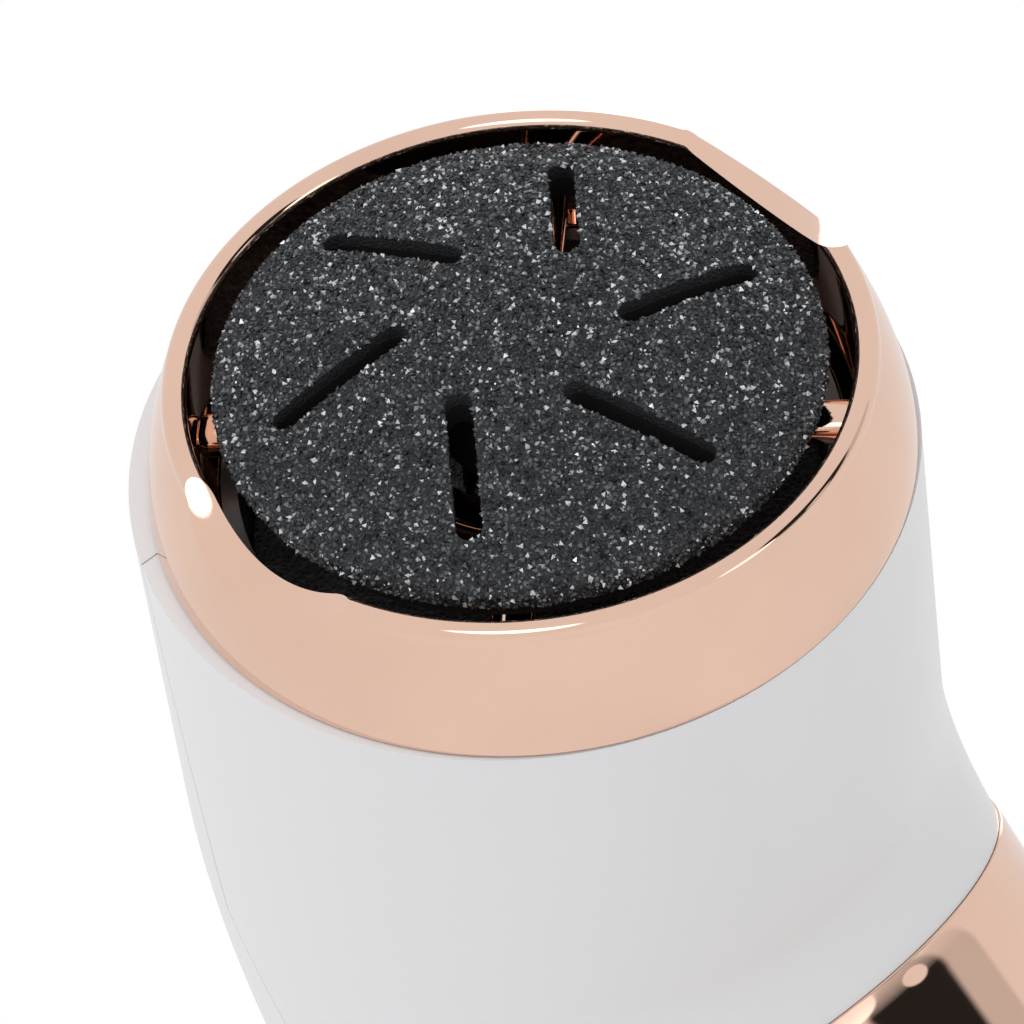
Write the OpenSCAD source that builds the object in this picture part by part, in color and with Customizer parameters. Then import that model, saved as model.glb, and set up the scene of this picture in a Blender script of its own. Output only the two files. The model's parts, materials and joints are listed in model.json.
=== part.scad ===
// Rechargeable callus remover with a spinning abrasive disc, a suction fan and a bent body.
// Row frame: +Z runs up the handle, the disc faces -Y and upwards, and X = 0 is the symmetry plane.
// Head frame: +Z leaves the disc along its axis and z = 0 is the ring's lower edge.

/* [Overall] */
// Height of the straight handle, from the foot to the start of the bend
handle_h = 98; // [96:1:130]
// Angle between the handle and the head, in degrees
bend = 52; // [46:1:64]
// Radius at the inside of the bend
bend_inner_r = 11.6; // [10:0.2:18]
// Length of the straight head casing below the ring
head_l = 29.5; // [26:0.5:38]
// How far the disc's axis sits in front of the casing's centre
head_setback = 1; // [0:0.1:1.4]

/* [Handle] */
// Radius of the grip at its slimmest
grip_r = 23.2; // [22.4:0.1:28]
// Radius of the base
base_r = 25; // [24:0.5:30]
// Height at which the grip starts to widen towards the neck
grip_z = 34; // [24:1:42]
// Height over which the grip flares out to the base
base_flare_h = 26; // [16:1:32]

/* [Casing] */
// Wall of the shells
wall = 2.2; // [1.6:0.1:2.6]
// Gap that shows as a seam between two shells
seam = 0.12; // [0.06:0.02:0.2]
// Thickness of the waist belt
belt_t = 1.5; // [1.2:0.1:1.8]
// How far the waist belt stands proud of the shells
belt_proud = 0.25; // [0.1:0.05:0.5]
// Angle of the bend that the waist belt covers
belt_angle = 12; // [8:1:16]
// Length of the waist belt on the handle
belt_low = 9; // [7:0.5:12]

/* [Abrasive disc] */
// Radius of the disc
disc_r = 22; // [21.5:0.5:27]
// Height of the dome above the disc's edge
disc_dome = 4.8; // [3.6:0.2:6]
// Thickness of the abrasive shell
disc_t = 1.2; // [0.8:0.1:1.4]
// Thickness of the carrier's web under the abrasive shell
carrier_t = 1.8; // [1.4:0.1:2]
// Number of slots
slot_count = 6; // [4:1:6]
// Width of a slot
slot_w = 2; // [1.4:0.1:2.6]
// Distance from the disc's centre to a slot's inner end
slot_inner = 7.6; // [7:0.1:9]
// Distance from the disc's centre to a slot's outer end
slot_outer = 18.3; // [15:0.1:19.5]
// Sideways offset of a slot from the disc's centre
slot_offset = 4.3; // [3:0.1:5]
// Direction of the first slot, in degrees
slot_turn = 51.9; // [0:0.1:60]

/* [Ring] */
// Gap between the disc and the ring
ring_gap = 2; // [1.2:0.1:3]
// Width of the ring's lip
lip_w = 1.8; // [1.4:0.1:2.4]
// How much wider the ring is at its lower edge than at its lip
ring_flare = 2.2; // [1.4:0.1:3]
// Height of the ring
ring_h = 10.5; // [9:0.1:13]
// How far the casing stands outside the ring's lower edge
shell_step = 0.9; // [0.5:0.1:1.4]
// Radius of the finger scoops in the ring
scoop_r = 18; // [14:0.5:24]
// Depth of a finger scoop below the lip
scoop_depth = 2.6; // [1.5:0.1:3.2]
// Outward slope of a finger scoop, in degrees
scoop_slope = 24; // [10:1:32]
// Width of the spokes behind the disc
spoke_w = 3.4; // [2:0.1:5]

/* [Drive] */
// Gear module
gear_module = 0.6; // [0.5:0.01:0.62]
// Teeth on the spindle gear
gear_teeth = 28; // [28:4:28]
// Teeth on the motor pinion
pinion_teeth = 12; // [12:4:12]
// Face width of the gears
gear_w = 4; // [3:0.1:4.4]
// Radius of the spindle
spindle_r = 2; // [1.5:0.1:2.2]
// Running clearance of shafts in their bushes, on the radius
running_fit = 0.03; // [0.01:0.01:0.1]
// Clearance of the carrier's hexagonal socket on the drive hub
hex_fit = 0.15; // [0.1:0.01:0.3]
// Radius of the motor
motor_r = 12; // [10.5:0.1:12.4]
// Length of the motor can
motor_l = 26; // [22:0.5:28]
// Radius of the motor shaft
motor_shaft_r = 1; // [0.8:0.05:1.2]
// Radius of the suction fan
fan_r = 15.5; // [13:0.1:16]

/* [Power] */
// Radius of the battery cell
cell_r = 9.2; // [7:0.1:9.4]
// Length of the battery cell
cell_l = 65; // [50:0.5:65]
// Height of the power button
button_z = 60; // [56:1:66]
// Radius of the power button's cap
button_r = 6; // [5:0.1:7]
// Travel of the power button
button_travel = 0.6; // [0.4:0.05:0.8]

/* [Hidden] */
$fn = 96;

// Clearances and small sizes
slip = 0.1;                 // gap round a part that drops into another
bore_over = 1;              // how far a cut runs past the face it opens
shadow_gap = 0.15;          // gap between the ring and the shells
button_gap = 0.15;          // radial gap round the power button

// Radii of the head, from the disc outwards
ring_in_r = disc_r + ring_gap;
ring_top_r = ring_in_r + lip_w;
ring_low_r = ring_top_r + ring_flare;
body_r = ring_low_r + shell_step;
bore_r = body_r - head_setback - wall;
belt_r = body_r + belt_proud;
seat_r = belt_r - belt_t;
bend_r = body_r + bend_inner_r;

// Where the disc's axis meets the plane of the ring's lower edge, in the row frame
head_y = -bend_r + bend_r * cos(bend) - head_l * sin(bend) - head_setback * cos(bend);
head_z = handle_h + bend_r * sin(bend) + head_l * cos(bend) - head_setback * sin(bend);

// Dome of the disc
dome_r = (disc_r * disc_r + disc_dome * disc_dome) / (2 * disc_dome);
disc_edge_z = ring_h - 0.2;
dome_z = disc_edge_z + disc_dome - dome_r;
carrier_r = disc_r - 0.8;
carrier_top = dome_z + dome_r - disc_t;

// Levels along the disc's axis
spoke_z = 2;
spoke_t = 2.6;
spoke_hub_r = 7.6;
spoke_rim_w = 2.9;
spigot_r = bore_r - 0.2;
spigot_in_r = spigot_r - 2.7;
spigot_l = 4.5;
cup_floor = -10.3;
cup_t = 1.2;
housing_top = cup_floor - slip;
housing_t = 2;
gear_room = 5.6;
plate_top = housing_top - housing_t - gear_room;
plate_t = 2.5;
plate_low = plate_top - plate_t;
plate_r = bore_r - slip;
ledge_t = 2;
ledge_w = 1.3;
tower_r = 8;
tower_top = -0.6;

// Bearing
race_out_r = 6.5;
race_w = 5;
bearing_top = -1;
ball_r = 0.95;
ball_pitch_r = (race_out_r + spindle_r) / 2;
ball_count = 7;
race_gap = 0.95;
groove_r = ball_r + 0.1;

// Drive hub, socket and magnet
hub_low = bearing_top;
hub_flange_top = 2.5;
hub_top = 9.4;
hex_r = 3.9;
hub_flange_r = 3.2;
boss_r = 6.5;
boss_low = 4.9;
magnet_r = 3;
magnet_t = 2;
magnet_low = hub_top + 0.4;

// Gears and motor
pressure = 20;
gear_play = 0.06;
flank_steps = 4;
gear_off = gear_module * (gear_teeth + pinion_teeth) / 2 + 0.05;
gear_tip_r = gear_module * (gear_teeth / 2 + 0.8);
pinion_tip_r = gear_module * (pinion_teeth / 2 + 1);
gear_low = plate_top + 0.7;
gear_clear = 0.8;
gear_wall = 1.4;
air_count = 9;
air_r = 2;
air_ring_r = 16.6;
post_ring_r = 21.2;
post_r = 2.8;
thread_r = 1;
screw_head_r = 2;
screw_head_h = 1.4;
motor_hole_x = motor_r - 2.5;
can_t = 1;
motor_low = plate_low - motor_l;
boss_motor_r = 3.2;
end_cap_t = 2;
field_t = 1.6;              // wall of the motor's magnets
field_gap = 0.4;            // air gap between the magnets and the armature
field_low = 4;
field_l = motor_l - 9;
field_arc = 120;
armature_r = motor_r - can_t - slip - field_t - field_gap;
armature_low = 5;
armature_top = 6;
armature_slot_w = 1.2;
armature_slot_h = 2.2;
commutator_r = 2.6;
commutator_low = 0.8;
commutator_top = 3;
brush_size = [3, 2, 2.4];
brush_off = 1.6;
brush_z = 2.2;
brush_pad = [4, 3.4, 1];
end_cap_rim_t = 1.5;
end_cap_rim_h = 3;
fan_top = motor_low - end_cap_t - 5.2;
fan_h = 6.4;
fan_disc_t = 0.9;
fan_blades = 9;
blade_root = 2.4;
blade_lean = 18;
blade_tip_gap = 1.2;
outlet_w = 14;
shroud_wall = 1.2;
shroud_in_r = fan_r + 1;
shroud_top = fan_top + 2.4;
shroud_low = fan_top - fan_h - 1.2;
shroud_post_r = 1.4;
shroud_post_ring = motor_r + shroud_post_r + 0.3;

// Casing
belt_z = handle_h - belt_low;
vent_count = 5;
vent_w = 15;
vent_h = 1.6;
vent_first = bend - 42;
vent_step = 5;
seam_angle = seam / bend_r * 180 / PI;

// Handle and power
inner_z = 7;
base_plate_low = 1.5;
base_plate_t = 1.8;
base_spigot_h = 3;
base_spigot_t = 1.5;
base_spigot_play = 0.5;
socket_play = 0.3;
cell_low = 12.5;
cell_y = 8.2;
board_y = -13.5;
board_t = 1.2;
board_w = 20;
board_low = 6;
board_top = 81;
pip_h = 0.8;
cradle_t = 1.4;
cradle_lip = 2;
cradle_web = 8;
cradle_strap = 6;
boss_x = 15;
boss_zs = [20, 76];
boss_w = 2.9;
screw_r = 1.1;
switch_w = 6;
switch_h = 3.5;
switch_floor = 1;
plunger_r = 1.6;
plunger_tip = 1.3;
bezel_w = 1.7;
bezel_proud = 0.5;
button_proud = 0.9;
button_wall = 1.2;
button_face_t = 1.6;
flange_t = 0.9;
flange_w = 1;
lens_z = 76;
lens_w = 3.2;
lens_l = 12;
led_w = 1.6;
led_t = 0.8;
led_step = 3.6;
socket_w = 8.94;
socket_h = 3.26;
socket_l = 7.4;
socket_wall = 0.3;
tongue = [6.6, 0.7];
socket_low = 3.6;
socket_y = board_y - socket_h / 2;
foot_t = base_plate_low;
foot_play = 0.8;
foot_r = base_r - 1.5;

white = [0.93, 0.93, 0.93];
rose_gold = [0.86, 0.62, 0.52];
steel = [0.72, 0.73, 0.75];
dark = [0.12, 0.12, 0.13];
grey = [0.45, 0.42, 0.43];

// Smooth step from 0 to 1
function smooth(u) = let (v = max(0, min(1, u))) v * v * (3 - 2 * v);

// Outer radius of the handle at a height
function handle_r(z) = grip_r
    + (body_r - grip_r) * smooth((z - grip_z) / (belt_z - grip_z))
    + (base_r - grip_r) * pow(max(0, 1 - z / base_flare_h), 2);

// Row-frame [y, z] of a point given as [y, z] in the head frame
function side(y, z) = [head_y + y * cos(bend) - z * sin(bend), head_z + y * sin(bend) + z * cos(bend)];

button_face = handle_r(button_z) + button_proud;
bezel_back = handle_r(button_z) - wall - 0.6;
plunger_face = -board_y + switch_h + plunger_tip;

// Places children in the head frame
module at_head() {
    translate([0, head_y, head_z])
        rotate([bend, 0, 0])
            children();
}

// Places children on the motor's axis, in the head frame
module at_motor() {
    at_head()
        translate([0, -gear_off, 0])
            children();
}

// Cylinder from one level to another
module rod(r, low, high) {
    translate([0, 0, low])
        cylinder(r = r, h = high - low);
}

// Hollow cylinder from one level to another
module tube(r_out, r_in, low, high) {
    difference() {
        rod(r_out, low, high);
        rod(r_in, low - bore_over, high + bore_over);
    }
}

// Cylinder along Y from one depth to another, at a side distance and a height
module rod_y(r, x, z, y_low, y_high) {
    translate([x, y_low, z])
        rotate([-90, 0, 0])
            cylinder(r = r, h = y_high - y_low);
}

// Part of the bend, from one angle to another, counted from the handle's end
module elbow(r, from, to) {
    translate([0, -bend_r, handle_h])
        rotate([90, 0, 90])
            rotate_extrude(angle = to - from, start = from)
                translate([bend_r, 0])
                    circle(r = r);
}

// The same in the head frame, counted from the head's end
module head_elbow(r, path_r, from, to) {
    translate([0, head_setback - bend_r, -head_l])
        rotate([-90, 0, 90])
            rotate_extrude(angle = to - from, start = from)
                translate([path_r, 0])
                    circle(r = r);
}

// Solid of revolution with the handle's outline, set in by an inset
module handle_core(low, high, inset) {
    bands = 22;
    step = (high - low) / bands;
    rotate_extrude()
        polygon(concat(
            [[0, low]],
            [for (i = [0:bands]) [handle_r(low + i * step) - inset, low + i * step]],
            [[0, high]]));
}

// Extrusion across the body of an outline given as [y, z] in the row frame
module across(outline) {
    rotate([90, 0, 90])
        linear_extrude(height = 4 * body_r, center = true)
            polygon(outline);
}

// Flat slot with round ends, from one distance to another along X
module slot(from, to, w, h) {
    translate([from, 0, 0])
        cylinder(d = w, h = h);
    translate([to, 0, 0])
        cylinder(d = w, h = h);
    translate([from, -w / 2, 0])
        cube([to - from, w, h]);
}

// Round-ended bar along X, standing on z = 0
module pill(w, t, h) {
    reach = (w - t) / 2;
    translate([0, 0, h / 2])
        cube([2 * reach, t, h], center = true);
    for (x = [-reach, reach])
        translate([x, 0, 0])
            cylinder(d = t, h = h);
}

// ---- Abrasive disc and drive ----

module disc_slots() {
    along_in = sqrt(slot_inner * slot_inner - slot_offset * slot_offset);
    along_out = sqrt(slot_outer * slot_outer - slot_offset * slot_offset);
    for (i = [0:slot_count - 1])
        rotate(slot_turn + i * 360 / slot_count)
            translate([0, -slot_offset, 0])
                slot(along_in + slot_w / 2, along_out - slot_w / 2, slot_w, ring_h + 2 * disc_dome);
}

module dome_shell(r, top_r, thickness) {
    difference() {
        intersection() {
            rod(r, disc_edge_z - disc_t - carrier_t - disc_dome, disc_edge_z + disc_dome + 1);
            translate([0, 0, dome_z])
                sphere(r = top_r, $fn = 240);
        }
        translate([0, 0, dome_z])
            sphere(r = top_r - thickness, $fn = 240);
    }
}

module abrasive_disc() {
    color(dark)
        at_head()
            difference() {
                dome_shell(disc_r, dome_r, disc_t);
                disc_slots();
            }
}

module disc_carrier() {
    color([0.08, 0.08, 0.08])
        at_head()
            difference() {
                union() {
                    dome_shell(carrier_r, dome_r - disc_t, carrier_t);
                    rod(boss_r, boss_low, carrier_top - carrier_t + 0.4);
                }
                disc_slots();
                rotate(30)
                    translate([0, 0, boss_low - bore_over])
                        cylinder(r = hex_r + hex_fit, h = magnet_low - boss_low + bore_over, $fn = 6);
                rod(magnet_r, boss_low, magnet_low + magnet_t);
            }
}

module carrier_magnet() {
    color(steel)
        at_head()
            rod(magnet_r, magnet_low, magnet_low + magnet_t);
}

module drive_hub() {
    color(steel)
        at_head()
            difference() {
                union() {
                    rod(hub_flange_r, hub_low, hub_flange_top);
                    rotate(30)
                        translate([0, 0, hub_flange_top])
                            cylinder(r = hex_r, h = hub_top - hub_flange_top, $fn = 6);
                }
                rod(spindle_r, hub_low - bore_over, hub_top - 1.2);
            }
}

module spindle() {
    color(steel)
        at_head()
            rod(spindle_r, plate_low + 0.4, hub_top - 1.2);
}

// Involute of an angle, in degrees
function involute(a) = tan(a) * 180 / PI - a;

// Half of the angle that a tooth fills at a radius
function tooth_half(teeth, r, base) = 90 / teeth - gear_play / (gear_module * teeth) * 180 / PI
    + involute(pressure) - involute(acos(min(1, base / r)));

// Spur gear outline: each tooth is two involute flanks between its root and its tip
module gear_outline(teeth, root, tip) {
    pitch = 360 / teeth;
    base = gear_module * teeth / 2 * cos(pressure);
    start = max(base, root);
    flank = concat([root], [for (s = [0:flank_steps]) start + (tip - start) * s / flank_steps]);
    last = len(flank) - 1;
    polygon([
        for (i = [0:teeth - 1]) for (s = [0:2 * last + 1])
            let (
                rising = s <= last,
                r = rising ? flank[s] : flank[2 * last + 1 - s],
                half = tooth_half(teeth, max(r, base), base),
                a = i * pitch + (rising ? -half : half)
            ) [r * cos(a), r * sin(a)]
    ]);
}

module spindle_gear() {
    color([0.85, 0.83, 0.78])
        at_head()
            translate([0, 0, gear_low])
                difference() {
                    linear_extrude(height = gear_w)
                        gear_outline(gear_teeth, gear_module * (gear_teeth / 2 - 1.25), gear_tip_r);
                    translate([0, 0, -bore_over])
                        cylinder(r = spindle_r, h = gear_w + 2 * bore_over);
                }
}

module motor_pinion() {
    color([0.78, 0.62, 0.3])
        at_motor()
            translate([0, 0, gear_low])
                difference() {
                    rotate(90 + 180 / pinion_teeth)
                        linear_extrude(height = gear_w)
                            gear_outline(pinion_teeth, gear_module * (pinion_teeth / 2 - 1.25), pinion_tip_r);
                    translate([0, 0, -bore_over])
                        cylinder(r = motor_shaft_r, h = gear_w + 2 * bore_over);
                }
}

// Ring with the track of the balls cut out of it
module race(r_out, r_in) {
    difference() {
        tube(r_out, r_in, bearing_top - race_w, bearing_top);
        translate([0, 0, bearing_top - race_w / 2])
            rotate_extrude()
                translate([ball_pitch_r, 0])
                    circle(r = groove_r);
    }
}

module bearing_inner_race() {
    color(steel)
        at_head()
            race(ball_pitch_r - race_gap, spindle_r);
}

module bearing_outer_race() {
    color(steel)
        at_head()
            race(race_out_r, ball_pitch_r + race_gap);
}

module bearing_balls() {
    color([0.8, 0.8, 0.82])
        at_head()
            translate([0, 0, bearing_top - race_w / 2]) {
                tube(ball_pitch_r + 0.3, ball_pitch_r - 0.3, -0.4, 0.4);
                for (i = [0:ball_count - 1])
                    rotate(i * 360 / ball_count)
                        translate([ball_pitch_r, 0, 0])
                            sphere(r = ball_r);
            }
}

module rear_bush() {
    color([0.72, 0.52, 0.28])
        at_head()
            difference() {
                union() {
                    rod(2 * spindle_r, plate_low, plate_top);
                    rod(2 * spindle_r + 1, plate_top, plate_top + 0.4);
                }
                rod(spindle_r + running_fit, plate_low - bore_over, plate_top + 2 * bore_over);
            }
}

// ---- Ring, seal and dust path ----

// Outline of the ring's section: convex flank, rounded lip, straight bore and a spigot below
module ring_section() {
    lip_r = lip_w / 2;
    flank_h = ring_h - lip_r;
    steps = 10;
    polygon(concat(
        [for (i = [0:steps]) [ring_low_r - ring_flare * pow(i / steps, 1.7), flank_h * i / steps]],
        [for (i = [1:steps]) [ring_in_r + lip_r + lip_r * cos(180 * i / steps), flank_h + lip_r * sin(180 * i / steps)]],
        [[ring_in_r, spoke_z - 0.6], [spigot_in_r, spoke_z - 1.2], [spigot_in_r, -spigot_l], [spigot_r, -spigot_l],
         [spigot_r, -3.4], [spigot_r - 1.4, -3.4], [spigot_r - 1.4, -1.8], [spigot_r, -1.8], [spigot_r, 0]]));
}

module bezel_ring() {
    color(rose_gold)
        at_head()
            difference() {
                union() {
                    rotate_extrude()
                        ring_section();
                    tube(spoke_hub_r + spoke_rim_w, spoke_hub_r, spoke_z, spoke_z + spoke_t);
                    for (a = [45:90:315])
                        rotate(a)
                            translate([spoke_hub_r + spoke_rim_w / 2, -spoke_w / 2, spoke_z])
                                cube([ring_in_r - spoke_hub_r - spoke_rim_w / 2 + 0.4, spoke_w, spoke_t]);
                }
                for (a = [0, 180])
                    rotate(a)
                        translate([ring_in_r, 0, ring_h - scoop_depth])
                            rotate([0, 90 + scoop_slope, 0])
                                translate([-scoop_r, 0, -ring_in_r / 2])
                                    cylinder(r = scoop_r, h = ring_in_r);
            }
}

module bezel_seal() {
    seal_r = 0.72;
    color([0.1, 0.1, 0.1])
        at_head()
            translate([0, 0, -2.6])
                rotate_extrude()
                    translate([bore_r - seal_r - 0.02, 0])
                        circle(r = seal_r);
}

// Air holes, left out where the motor sits
module air_holes(low, high) {
    for (i = [0:air_count - 1])
        rotate(-30 + i * 240 / (air_count - 1))
            translate([air_ring_r, 0, 0])
                rod(air_r, low - bore_over, high + bore_over);
}

module dust_cup() {
    cup_r = spigot_in_r - slip;
    color(grey)
        at_head()
            difference() {
                union() {
                    difference() {
                        rod(cup_r, cup_floor, spoke_z - 1.4);
                        rod(cup_r - cup_t, cup_floor + cup_t, spoke_z);
                    }
                    rod(tower_r + slip + cup_t, cup_floor, tower_top);
                }
                rod(tower_r + slip, cup_floor - bore_over, tower_top + bore_over);
                air_holes(cup_floor, cup_floor + cup_t);
            }
}

module filter_sponge() {
    color([0.25, 0.25, 0.27])
        at_head()
            tube(spigot_in_r - slip - cup_t - 0.3, tower_r + cup_t + 0.5, cup_floor + cup_t, cup_floor + cup_t + 4);
}

// ---- Gearbox and motor ----

// The four places where the gearbox is screwed together
module at_posts() {
    for (a = [45:90:315])
        rotate(a)
            translate([post_ring_r, 0, 0])
                children();
}

module gear_room_shape(extra, low, high) {
    rod(gear_tip_r + gear_clear + extra, low, high);
    translate([0, -gear_off, 0])
        rod(pinion_tip_r + gear_clear + extra, low, high);
}

module gearbox_housing() {
    color([0.82, 0.82, 0.8])
        at_head()
            difference() {
                union() {
                    rod(plate_r, housing_top - housing_t, housing_top);
                    rod(tower_r, housing_top, tower_top);
                    gear_room_shape(gear_wall, plate_top, housing_top);
                    at_posts()
                        rod(post_r, plate_top, housing_top);
                }
                gear_room_shape(0, plate_top - bore_over, housing_top - housing_t);
                rod(race_out_r, bearing_top - race_w, tower_top + bore_over);
                rod(race_out_r - 1.5, housing_top - housing_t - bore_over, tower_top);
                air_holes(housing_top - housing_t, housing_top);
                at_posts()
                    rod(thread_r, plate_top - bore_over, housing_top - housing_t - 0.6);
            }
}

module gearbox_plate() {
    color([0.35, 0.36, 0.38])
        at_head()
            difference() {
                rod(plate_r, plate_low, plate_top);
                rod(2 * spindle_r, plate_low - bore_over, plate_top + bore_over);
                air_holes(plate_low, plate_top);
                at_posts()
                    rod(thread_r + slip, plate_low - bore_over, plate_top + bore_over);
                translate([0, -gear_off, 0])
                    rod(boss_motor_r + slip, plate_low - bore_over, plate_top + bore_over);
                for (x = [-motor_hole_x, motor_hole_x])
                    translate([x, -gear_off, 0])
                        rod(thread_r + slip, plate_low - bore_over, plate_top + bore_over);
            }
}

// Pan-head screw whose head sits above z = 0 and whose shank points down
module pan_screw(length) {
    difference() {
        union() {
            rod(thread_r - 0.02, -length, 0);
            rod(screw_head_r, 0, screw_head_h);
        }
        for (a = [0, 90])
            rotate(a)
                translate([0, 0, screw_head_h])
                    cube([2.2, 0.5, 1.2], center = true);
    }
}

module gearbox_screws() {
    color(steel)
        at_head()
            at_posts()
                translate([0, 0, plate_low])
                    mirror([0, 0, 1])
                        pan_screw(plate_t + gear_room - 1);
}

module motor_screws() {
    color(steel)
        at_motor()
            for (x = [-motor_hole_x, motor_hole_x])
                translate([x, 0, plate_top])
                    pan_screw(plate_t + can_t);
}

module motor_can() {
    color(steel)
        at_motor()
            difference() {
                union() {
                    rod(motor_r, motor_low, plate_low);
                    rod(boss_motor_r, plate_low, plate_top - 0.6);
                }
                rod(motor_r - can_t, motor_low - bore_over, plate_low - can_t);
                rod(motor_shaft_r + running_fit, motor_low, plate_top);
                for (x = [-motor_hole_x, motor_hole_x])
                    translate([x, 0, 0])
                        rod(thread_r, plate_low - can_t - bore_over, plate_low + bore_over);
            }
}

module motor_magnets() {
    color([0.2, 0.2, 0.22])
        at_motor()
            for (a = [-field_arc / 2, 180 - field_arc / 2])
                translate([0, 0, motor_low + field_low])
                    rotate_extrude(angle = field_arc, start = a)
                        translate([armature_r + field_gap, 0])
                            square([field_t, field_l]);
}

module motor_armature() {
    color([0.6, 0.35, 0.2])
        at_motor()
            difference() {
                union() {
                    rod(armature_r, motor_low + armature_low, plate_low - armature_top);
                    rod(commutator_r, motor_low + commutator_low, plate_low - commutator_top);
                }
                rod(motor_shaft_r, motor_low - bore_over, plate_low);
                for (a = [0:72:288])
                    rotate(a)
                        translate([armature_r - armature_slot_h, -armature_slot_w / 2,
                                   motor_low + armature_low - bore_over])
                            cube([2 * armature_slot_h, armature_slot_w, motor_l]);
            }
}

module motor_shaft() {
    color(steel)
        at_motor()
            rod(motor_shaft_r, fan_top - fan_h, gear_low + gear_w);
}

module motor_brushes() {
    color(dark)
        at_motor()
            for (side_x = [-1, 1])
                translate([side_x * (commutator_r + brush_off), 0, motor_low + brush_z])
                    cube(brush_size, center = true);
}

module motor_end_cap() {
    rim_r = motor_r - can_t - slip;
    color(dark)
        at_motor()
            difference() {
                union() {
                    rod(motor_r, motor_low - end_cap_t, motor_low);
                    tube(rim_r, rim_r - end_cap_rim_t, motor_low, motor_low + end_cap_rim_h);
                    for (side_x = [-1, 1])
                        translate([side_x * (commutator_r + brush_off + 1), 0, motor_low + brush_pad[2] / 2])
                            cube(brush_pad, center = true);
                }
                rod(motor_shaft_r + running_fit, motor_low - end_cap_t - bore_over, motor_low + bore_over);
            }
}

module fan_impeller() {
    color([0.88, 0.88, 0.86])
        at_motor()
            difference() {
                union() {
                    rod(fan_r, fan_top - fan_h, fan_top - fan_h + fan_disc_t);
                    rod(3 * motor_shaft_r, fan_top - fan_h, fan_top);
                    for (i = [0:fan_blades - 1])
                        rotate(i * 360 / fan_blades)
                            translate([blade_root, 0.6, fan_top - fan_h])
                                rotate(-blade_lean)
                                    cube([fan_r - blade_root - blade_tip_gap, fan_disc_t, fan_h - 0.8]);
                }
                rod(motor_shaft_r, fan_top - fan_h - bore_over, fan_top + bore_over);
            }
}

module fan_shroud() {
    color([0.3, 0.3, 0.32])
        at_motor()
            difference() {
                union() {
                    tube(shroud_in_r + shroud_wall, shroud_in_r, shroud_low, shroud_top - shroud_wall);
                    tube(shroud_in_r + shroud_wall, fan_r / 2, shroud_top - shroud_wall, shroud_top);
                    for (a = [90, 210, 330])
                        rotate(a)
                            translate([shroud_post_ring, 0, 0])
                                rod(shroud_post_r, shroud_top - shroud_wall / 2, plate_low);
                }
                translate([-outlet_w / 2, 0, fan_top - fan_h])
                    cube([outlet_w, 2 * shroud_in_r, fan_h - 1]);
            }
}

// ---- Casing ----

// Everything behind the seam between the front and back shells of the head
module behind_seam(shift) {
    top = side(14 + shift, 6);
    waist = side(8 + shift, -34);
    far = 3 * body_r;
    across([top, waist, [shift, handle_h + 2], [shift, handle_h - far], [far, handle_h - far],
            [far, head_z + far], [top[0], head_z + far]]);
}

// Space inside the head casing, with a ledge that carries the gearbox plate
module head_inside() {
    head_elbow(bore_r, bend_r - head_setback, 0, bend + 1);
    rod(bore_r, -head_l, plate_low - ledge_t);
    rod(bore_r - ledge_w, plate_low - ledge_t, plate_low);
    rod(bore_r, plate_low, bore_over);
}

module head_casing() {
    shoulder = bend - belt_angle - seam_angle;
    difference() {
        at_head()
            difference() {
                union() {
                    translate([0, head_setback, 0])
                        rod(body_r, -head_l, -shadow_gap);
                    head_elbow(body_r, bend_r, 0, shoulder);
                    head_elbow(seat_r, bend_r, shoulder, bend);
                }
                head_inside();
            }
        for (i = [0:vent_count - 1])
            translate([0, -bend_r, handle_h])
                rotate([vent_first + (i + 1) * vent_step, 0, 0])
                    translate([0, bend_r + body_r, 0])
                        cube([vent_w, 6 * wall, vent_h], center = true);
    }
}

module head_shell_front() {
    color(white)
        difference() {
            head_casing();
            behind_seam(-seam / 2);
        }
}

module head_shell_back() {
    color(white)
        intersection() {
            head_casing();
            behind_seam(seam / 2);
        }
}

module waist_belt() {
    color(rose_gold)
        difference() {
            union() {
                elbow(belt_r, 0, belt_angle);
                rod(belt_r, belt_z, handle_h);
            }
            elbow(seat_r + seam / 2, 0, belt_angle + 1);
            rod(seat_r + seam / 2, belt_z - bore_over, handle_h);
        }
}

// Both handle shells before they are split
module handle_casing() {
    difference() {
        union() {
            handle_core(inner_z, belt_z - seam, 0);
            rod(seat_r, belt_z - seam, handle_h - seam);
            intersection() {
                for (x = [-boss_x, boss_x])
                    for (z = boss_zs)
                        rod_y(boss_w, x, z, -body_r, body_r);
                handle_core(inner_z, belt_z, wall / 2);
            }
        }
        difference() {
            union() {
                handle_core(inner_z - bore_over, belt_z, wall);
                rod(body_r - wall - head_setback, belt_z, handle_h + bore_over);
            }
            for (x = [-boss_x, boss_x])
                for (z = boss_zs)
                    rod_y(boss_w, x, z, -body_r, body_r);
        }
    }
}

// Slab in front of (-1) or behind (1) the seam of the handle
module handle_half(way) {
    translate([-2 * body_r, way > 0 ? seam / 2 : -4 * body_r - seam / 2, -bore_over])
        cube([4 * body_r, 4 * body_r, handle_h + 2 * bore_over]);
}

// Obround cut or plug for the indicator, along Y
module lens_shape(extra) {
    reach = (lens_l - lens_w) / 2;
    for (z = [lens_z - reach, lens_z + reach])
        rod_y(lens_w / 2 + extra, 0, z, -body_r, board_y - 4);
    translate([-lens_w / 2 - extra, -body_r, lens_z - reach])
        cube([lens_w + 2 * extra, body_r + board_y - 4, 2 * reach]);
}

module handle_front_shell() {
    color(white)
        difference() {
            intersection() {
                handle_casing();
                handle_half(-1);
            }
            rod_y(button_r + button_gap + bezel_w, 0, button_z, -body_r, board_y - 4);
            lens_shape(slip / 2);
            for (x = [-boss_x, boss_x])
                for (z = boss_zs)
                    rod_y(screw_r, x, z, -8, bore_over);
        }
}

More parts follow.
